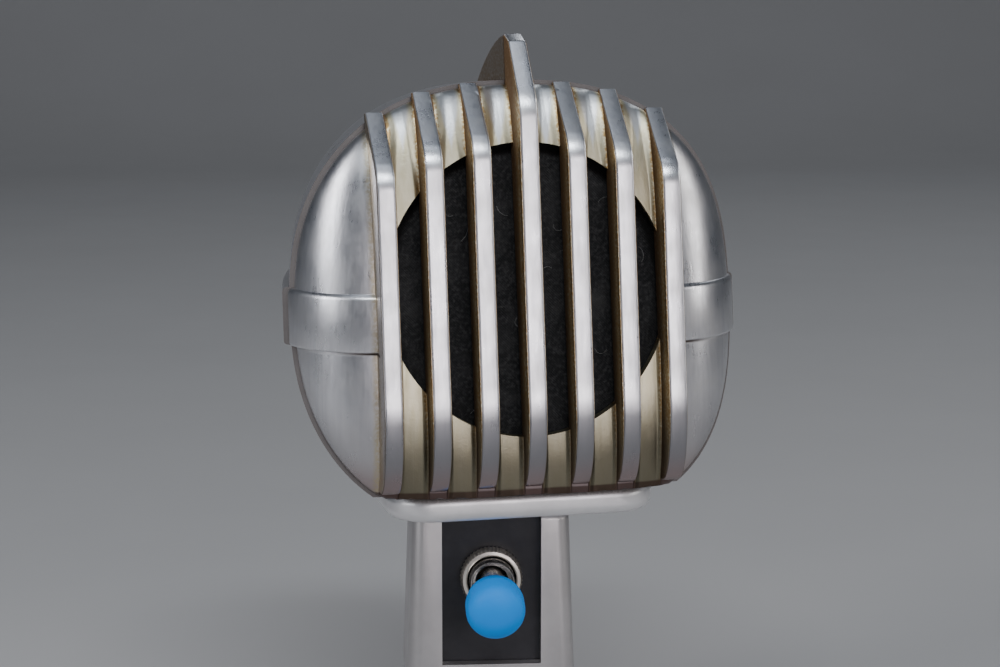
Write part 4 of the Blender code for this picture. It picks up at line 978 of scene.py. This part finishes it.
# ======== cloth
def cloth_disc(name, node, ring, radius, front, back, seed):
    """A stretched disc of cloth with shallow puckers from its clamped edge."""
    bm = bmesh.new()
    rings, around = 30, 96
    skins = []
    for face, y in enumerate((front, back)):
        grid = [[bm.verts.new((0, y, 0))] * around]
        for k in range(1, rings + 1):
            r = radius * k / rings
            row = []
            for j in range(around):
                a = tau * j / around
                x, z = r * cos(a), r * sin(a)
                pucker = noise.noise(Vector((x * 95 + seed, z * 60, 0.3)))
                fold = noise.noise(Vector((x * 260, z * 130 + seed, 1.7)))
                ease = 1.0 - (k / rings) ** 6
                shift = ease * (0.20 * MM * pucker + 0.09 * MM * fold)
                low, high = front + 0.02 * MM, back - 0.02 * MM
                place = (y + shift) if face == 0 else (y + shift * 0.5)
                row.append(bm.verts.new((x, min(max(place, low), high), z)))
            grid.append(row)
        skins.append(grid)
        for a, b in zip(grid, grid[1:]):
            ring_faces(bm, a, b)
    ring_faces(bm, skins[0][rings], skins[1][rings])
    for vert in bm.verts:
        vert.co.z += OPENING_Z
    lean(bm)
    obj = made(bm, name, "cloth", HEAD, 60)
    ride(obj, "head")
    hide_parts(node)


def build_lint():
    """Loose fibres caught on the front cloth."""
    rng = random.Random(7)
    data = bpy.data.curves.new("lint", 'CURVE')
    data.dimensions = '3D'
    data.bevel_depth = 0.016 * MM
    data.bevel_resolution = 1
    data.resolution_u = 3
    for _ in range(16):
        r = 24 * MM * sqrt(rng.random())
        a = rng.random() * tau
        x, z = r * cos(a), r * sin(a) + OPENING_Z
        heading = rng.random() * tau
        curl = rng.uniform(-1.0, 1.0)
        spline = data.splines.new('NURBS')
        spline.use_endpoint_u = True
        spline.points.add(5)
        for k, point in enumerate(spline.points):
            y = -3.36 * MM + RAKE * z - 0.10 * MM * sin(pi * k / 5) * rng.random()
            point.co = (x, y, z, 1)
            x += 0.62 * MM * cos(heading)
            z += 0.62 * MM * sin(heading)
            heading += curl * 0.7
    obj = bpy.data.objects.new("cloth_lint", data)
    bpy.context.scene.collection.objects.link(obj)
    data.materials.append(MATERIALS["lint"])
    obj.matrix_world = HEAD
    ride(obj, "head")


# ======== saddle, neck, coupler
def build_saddle():
    middle = (PLATE_BACK + PLATE_FRONT) / 2
    edge = rounded_rect(PLATE_W, PLATE_BACK - PLATE_FRONT, PLATE_CORNER, (0, middle), 14)
    plate = made(prism_bm(edge, PLATE_TOP - PLATE_T, PLATE_TOP, 'Z'), "saddle_casting", "saddle", HEAD)
    rounded(plate, PLATE_ROUND, 6)
    baked(plate)
    slot = box_bm((SLOT_W, SLOT_L, 20 * MM), (0, PAN_Y, PLATE_TOP))
    low = PLATE_TOP - PLATE_T
    boolean(plate, joined([slot] + saddle_cylinders(SCREW_BORE_R, low - MM, PLATE_TOP + MM, 32)))
    boolean(plate, joined(saddle_cylinders(SCREW_HEAD_R, low - MM, low + SCREW_SINK, 48)))
    ride(plate, "head")
    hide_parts("saddle_plate")


def tapered_bm(width_low, width_high, front, back, radius, low, high, steps=10):
    """An upright block whose width changes with height."""
    section = rounded_rect(width_low, back - front, radius, (0, (front + back) / 2), steps)
    bm = prism_bm(section, low, high, 'Z')
    for vert in bm.verts:
        if abs(vert.co.z - high) < 1e-6:
            vert.co.x *= width_high / width_low
    return bm


def build_neck():
    neck = made(tapered_bm(NECK_W_LOW, NECK_W_TOP, NECK_FRONT, NECK_BACK, 3.0 * MM, NECK_LOW, NECK_TOP),
                "neck_casting", "neck")
    rounded(neck, 1.0 * MM, 4, 60)
    baked(neck)
    boolean(neck, tapered_bm(NECK_W_LOW - 2 * NECK_WALL, NECK_W_TOP - 2 * NECK_WALL,
                             NECK_FRONT + NECK_WALL, NECK_BACK + 10 * MM, 0.8 * MM,
                             NECK_LOW + 3.0 * MM, NECK_TOP - NECK_LID, 4))
    high = NECK_TOP + 5 * MM
    boolean(neck, box_bm((WINDOW_W, 2 * NECK_WALL + MM, high - WINDOW_LOW),
                         (0, NECK_FRONT, (WINDOW_LOW + high) / 2)))
    board_y = NECK_FRONT + NECK_WALL + GAP + 0.9 * MM
    boolean(neck, box_bm((WINDOW_W + 5.6 * MM, 2.4 * MM, high - BOARD_LOW + 0.6 * MM),
                         (0, board_y, (BOARD_LOW + high) / 2 - GAP)))
    above = NECK_TOP + 11 * MM
    for radius, low, top in ((POST_BORE_R, 50 * MM, above), (FLANGE_R + GAP, FLANGE_LOW - GAP, above),
                             (RING_R + GAP, RING_LOW - GAP, above), (CABLE_BORE_R, 10 * MM, 30 * MM)):
        boolean(neck, cylinder_bm(radius, low, top))
    boolean(neck, cylinder_bm(COVER_SCREW_R, 8 * MM, 25 * MM, 'Y', (0, NECK_TOP - 4.3 * MM), 24))
    rounded(neck, 0.28 * MM, 2, 40)
    ride(neck, "neck")
    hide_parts("neck_housing")


def build_coupler():
    """The stand socket: a flange under the neck, a knurled grip between two grooves, a threaded bore."""
    groove = 0.35 * MM
    top, flange, grip, bore = (NECK_LOW - GAP) / MM, COUPLER_R / MM, GRIP_R / MM, SOCKET_R / MM
    profile = [(2.6, 24.3), (2.9, 24.6), (7.2, 24.6), (7.6, 24.2), (7.6, top), (flange - 0.5, top),
               (flange, 21.2), (flange, 19.1), (flange - 0.3, 18.6), (grip + 0.3, 17.6), (grip, 17.2),
               (grip, 15.2), (grip - 0.3, 14.9), (grip - 0.3, 14.5), (grip, 14.2)]
    z = 13.9
    while z > 3.4:
        profile += [(grip, z), (grip, z - 0.5)]
        z -= 0.75
    profile += [(grip, 3.0), (grip - 0.3, 2.7), (grip - 0.3, 2.3), (grip, 2.0), (grip, 1.2),
                (grip - 0.3, 0.8), (grip - 0.8, 0.15), (grip - 1.1, 0.0), (8.9, 0.0), (bore, 0.9)]
    z = 1.5
    while z < 14.2:
        profile += [(bore, z), (bore + 0.35, z + 0.3), (bore, z + 0.6)]
        z += THREAD_PITCH / MM
    profile += [(bore, SOCKET_DEPTH / MM), (2.6, SOCKET_DEPTH / MM)]

    def knurl(angle, radius, height):
        on_grip = 3.2 * MM < height < 14.0 * MM and radius > 12 * MM
        return -groove * (0.5 + 0.5 * cos(60 * angle)) if on_grip else 0.0

    coupler = made(lathe_bm(in_metres(profile), 240, knurl), "stand_socket", "coupler")
    ride(coupler, "neck")
    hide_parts("stand_coupler")


# ======== switch
def facing(z):
    """Places a shape turned about Z so that its axis points to the front."""
    return Matrix.Translation((0, 0, z)) @ Matrix.Rotation(radians(90), 4, 'X')


def build_nut():
    seat, rim = -(NECK_FRONT + NECK_WALL) / MM, NUT_R / MM
    profile = [(4.9, seat + 0.05), (rim - 0.2, seat + 0.05), (rim, seat + 0.25), (rim, seat + 2.2),
               (rim - 0.1, seat + 2.55), (5.75, seat + 3.0), (5.2, seat + 3.18), (4.95, seat + 3.1),
               (4.9, seat + 2.9)]

    def serrated(angle, radius, _height):
        on_rim = radius > NUT_R - 0.3 * MM
        return -0.16 * MM * (0.5 + 0.5 * cos(48 * angle)) if on_rim else 0.0

    obj = made(lathe_bm(in_metres(profile), 288, serrated), "dress_nut", "nut", facing(TOGGLE_Z))
    ride(obj, "neck")
    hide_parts("switch_nut")


def bushing_bm(low, high):
    """The threaded bushing, hollow for the lever, along Y at the switch's height."""
    profile = [(3.3, low), (4.4, low)]
    z = low + 0.3
    while z < high - 0.7:
        profile += [(4.55, z), (4.25, z + 0.25)]
        z += 0.5
    profile += [(4.5, high - 0.35), (4.3, high - 0.05), (4.2, high), (4.1, high - 0.15),
                (4.1, 18.6), (3.5, 18.5), (3.3, 18.3)]
    bm = lathe_bm(in_metres(profile), 72)
    bmesh.ops.rotate(bm, matrix=Matrix.Rotation(radians(90), 3, 'X'), verts=bm.verts)
    bmesh.ops.translate(bm, vec=(0, 0, TOGGLE_Z), verts=bm.verts)
    return bm


def build_switch():
    """The switch's moulded case, with two holes for its terminals, and its bushing."""
    front = NECK_FRONT + NECK_WALL + GAP + 1.8 * MM + GAP
    body = box_bm((12 * MM, 9 * MM, 13 * MM), (0, front + 4.5 * MM, TOGGLE_Z))
    body = made(body, "switch_case", ("phenolic", "steel"))
    rounded(body, 0.5 * MM, 3)
    baked(body)
    boolean(body, box_bm((9.2 * MM, 6.4 * MM, 10.4 * MM), (0, front + 4.6 * MM, TOGGLE_Z)))
    for side in (-0.5, 0.5):
        terminal_z = TOGGLE_Z + side * TERMINAL_GAP
        boolean(body, cylinder_bm(1.15 * MM, -6 * MM, 20 * MM, 'Y', (0, terminal_z), 24))
    boolean(body, cylinder_bm(BUSHING_BORE_R, -25 * MM, front + 2 * MM, 'Y', (0, TOGGLE_Z), 32))
    bushing = bushing_bm(-(front + MM) / MM, -(NECK_FRONT - 3.2 * MM) / MM)
    for face in bushing.faces:
        face.material_index = 1
    add_to(body, bushing)
    ride(body, "neck")
    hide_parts("switch_body")


def build_lever():
    """The bat lever on its ball, and the blue cap over its end."""
    tilt = Matrix.Rotation(LEVER_TILT, 4, 'X')
    place = Matrix.Translation((0, TOGGLE_PIVOT_Y, TOGGLE_Z)) @ tilt @ facing(0)
    angles = [radians(a) for a in range(50, -55, -8)]
    ball = [(BALL_R / MM * cos(a), BALL_R / MM * sin(a)) for a in angles]
    bat = [(0, 12.2), (1.3, 12.2), (1.7, 11.9), (1.9, 11.4), (1.8, 8.0), (1.7, 3.0)] + ball
    bat += [(1.2, -3.0), (1.0, -6.2), (0.7, -6.5), (0, -6.6)]
    obj = made(lathe_bm(in_metres(bat), 48), "bat_lever", "steel", place, 50)
    ride(obj, "lever")
    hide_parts("toggle_lever")

    side = CAP_R / MM
    cap = [(0, 16.58)]
    for k in range(1, 13):
        a = radians(90 - 90 * k / 12)
        cap.append((side * cos(a) ** 0.8, 12.8 + 3.78 * sin(a) ** 0.9))
    cap += [(side, 11.6), (side - 0.01, 10.4), (5.62, 9.4), (5.25, 8.2), (4.75, 7.3), (4.35, 6.75),
            (4.0, 6.45), (3.4, 6.25), (2.3, 6.2), (2.2, 6.4), (2.2, 12.6), (0, 12.6)]
    obj = made(lathe_bm(in_metres(cap), 96), "blue_cap", "cap", place, 50)
    ride(obj, "lever")
    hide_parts("lever_cap")


# ======== carried-over CAD nodes
def dress(material, *nodes, edge=0.15 * MM):
    """Gives CAD nodes a material and soft edges, and leaves their meshes as they are."""
    for name in nodes:
        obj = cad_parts[name]
        obj.data.materials.clear()
        obj.data.materials.append(MATERIALS[material])
        weld = obj.modifiers.new("weld", 'WELD')
        weld.merge_threshold = 0.005 * MM
        if edge:
            rounded(obj, edge, 2, 40)


def dress_all():
    dress("steel", *["saddle_screw_%d" % k for k in (1, 2, 3, 4)], "tilt_bracket", "pivot_bolt",
          "pivot_nut", "shell_screw_l", "shell_screw_r", "cover_screw_top", "cover_screw_bottom",
          "inlet_shell", "swivel_ring", "swivel_post")
    dress("brass", "front_cloth_ring", "rear_cloth_ring", "ribbon_clamp_bottom", "ribbon_clamp_top",
          "inlet_pin_1", "inlet_pin_2", "inlet_pin_3", "contact_rocker", "switch_terminal_1",
          "switch_terminal_2", edge=0.08 * MM)
    dress("iron", "pole_piece_l", "pole_piece_r", "magnet_l", "magnet_r", "motor_yoke",
          "transformer_core")
    dress("phenolic", "friction_washer_l", "friction_washer_r", "motor_plate_bottom", "motor_plate_top",
          "terminal_board", "inlet_insert", "swivel_washer", edge=0.08 * MM)
    dress("rubber", "rubber_mount_bottom", "rubber_mount_top", edge=0.3 * MM)
    dress("winding", "transformer_coil", edge=0.3 * MM)
    dress("foil", "ribbon", edge=0)
    dress("board", "switch_plate", edge=0.1 * MM)
    dress("neck", "neck_back_cover", edge=0.25 * MM)


# ======== studio
def area_light(name, azimuth, elevation, distance, size, power, colour):
    """A rectangular light aimed at the head; azimuth 0 is straight in front."""
    data = bpy.data.lights.new(name, 'AREA')
    data.shape = 'RECTANGLE'
    data.size, data.size_y = size
    data.energy = power
    data.color = colour
    light = bpy.data.objects.new(name, data)
    a, e = radians(azimuth), radians(elevation)
    back = Vector((sin(a) * cos(e), -cos(a) * cos(e), sin(e)))
    light.location = Vector((0, -0.01, 0.1)) + back * distance
    light.rotation_mode = 'QUATERNION'
    light.rotation_quaternion = back.to_track_quat('Z', 'Y')
    bpy.context.scene.collection.objects.link(light)


def build_floor():
    """A pale floor that sweeps up into a pale wall far behind."""
    bm = bmesh.new()
    profile = [(-1.6, 0.0), (1.2, 0.0)]
    for k in range(1, 13):
        a = radians(90.0 * k / 12)
        profile.append((1.2 + 0.6 * sin(a), 0.6 - 0.6 * cos(a)))
    profile.append((1.8, 1.6))
    rows = [[bm.verts.new((x, y, z - 0.0002)) for x in (-2.4, 2.4)] for y, z in profile]
    for a, b in zip(rows, rows[1:]):
        bm.faces.new((a[0], a[1], b[1], b[0]))
    g = Graph("studio_floor")
    MATERIALS["floor"] = g.set(Base_Color=g.mix(g.noise(9.0), (0.50, 0.49, 0.485), (0.54, 0.53, 0.525)),
                               Roughness=g.step(g.noise(30.0), 0.2, 0.8, 0.72, 0.85))
    floor = made(bm, "studio_floor", "floor")


def build_studio():
    build_floor()
    area_light("key_front", 17, 9, 1.0, (0.62, 0.26), 2.3, (1.0, 0.94, 0.975))
    area_light("key_high", 4, 50, 1.0, (0.62, 0.13), 4.7, (0.88, 0.94, 1.0))
    area_light("soft_top", 0, 80, 1.0, (0.7, 0.2), 0.6, (0.80, 0.88, 1.0))
    area_light("window_left", -58, 24, 1.0, (0.30, 0.55), 3.4, (0.95, 0.96, 1.0))
    area_light("fill_right", 74, 18, 1.0, (0.22, 0.5), 1.5, (1.0, 0.97, 0.95))
    area_light("rim_back", 150, 42, 1.4, (0.7, 0.3), 1.6, (0.9, 0.95, 1.0))
    world = bpy.data.worlds.new("studio")
    world.use_nodes = True
    world.node_tree.nodes["Background"].inputs["Color"].default_value = (0.22, 0.25, 0.30, 1)
    world.node_tree.nodes["Background"].inputs["Strength"].default_value = 0.22
    bpy.context.scene.world = world


def build_camera():
    """The photo's camera, fitted."""
    data = bpy.data.cameras.new("camera")
    data.sensor_width = 36.0
    data.lens = 87.66
    data.clip_start = 0.01
    camera = bpy.data.objects.new("camera", data)
    camera.location = (-0.0305, -0.4853, 0.1773)
    back = Vector((-0.0675, -0.9829, 0.1712)).normalized()
    camera.rotation_mode = 'QUATERNION'
    camera.rotation_quaternion = back.to_track_quat('Z', 'Y')
    bpy.context.scene.collection.objects.link(camera)
    bpy.context.scene.camera = camera


build_camera()
build_front()
build_rear()
cloth_disc("front_weave", "front_cloth", "front_cloth_ring", FRONT_CLOTH_R, *FRONT_CLOTH_Y, 3.0)
cloth_disc("rear_weave", "rear_cloth", "rear_cloth_ring", REAR_CLOTH_R, *REAR_CLOTH_Y, 8.0)
build_lint()
build_saddle()
build_neck()
build_coupler()
build_nut()
build_switch()
build_lever()
dress_all()
build_studio()
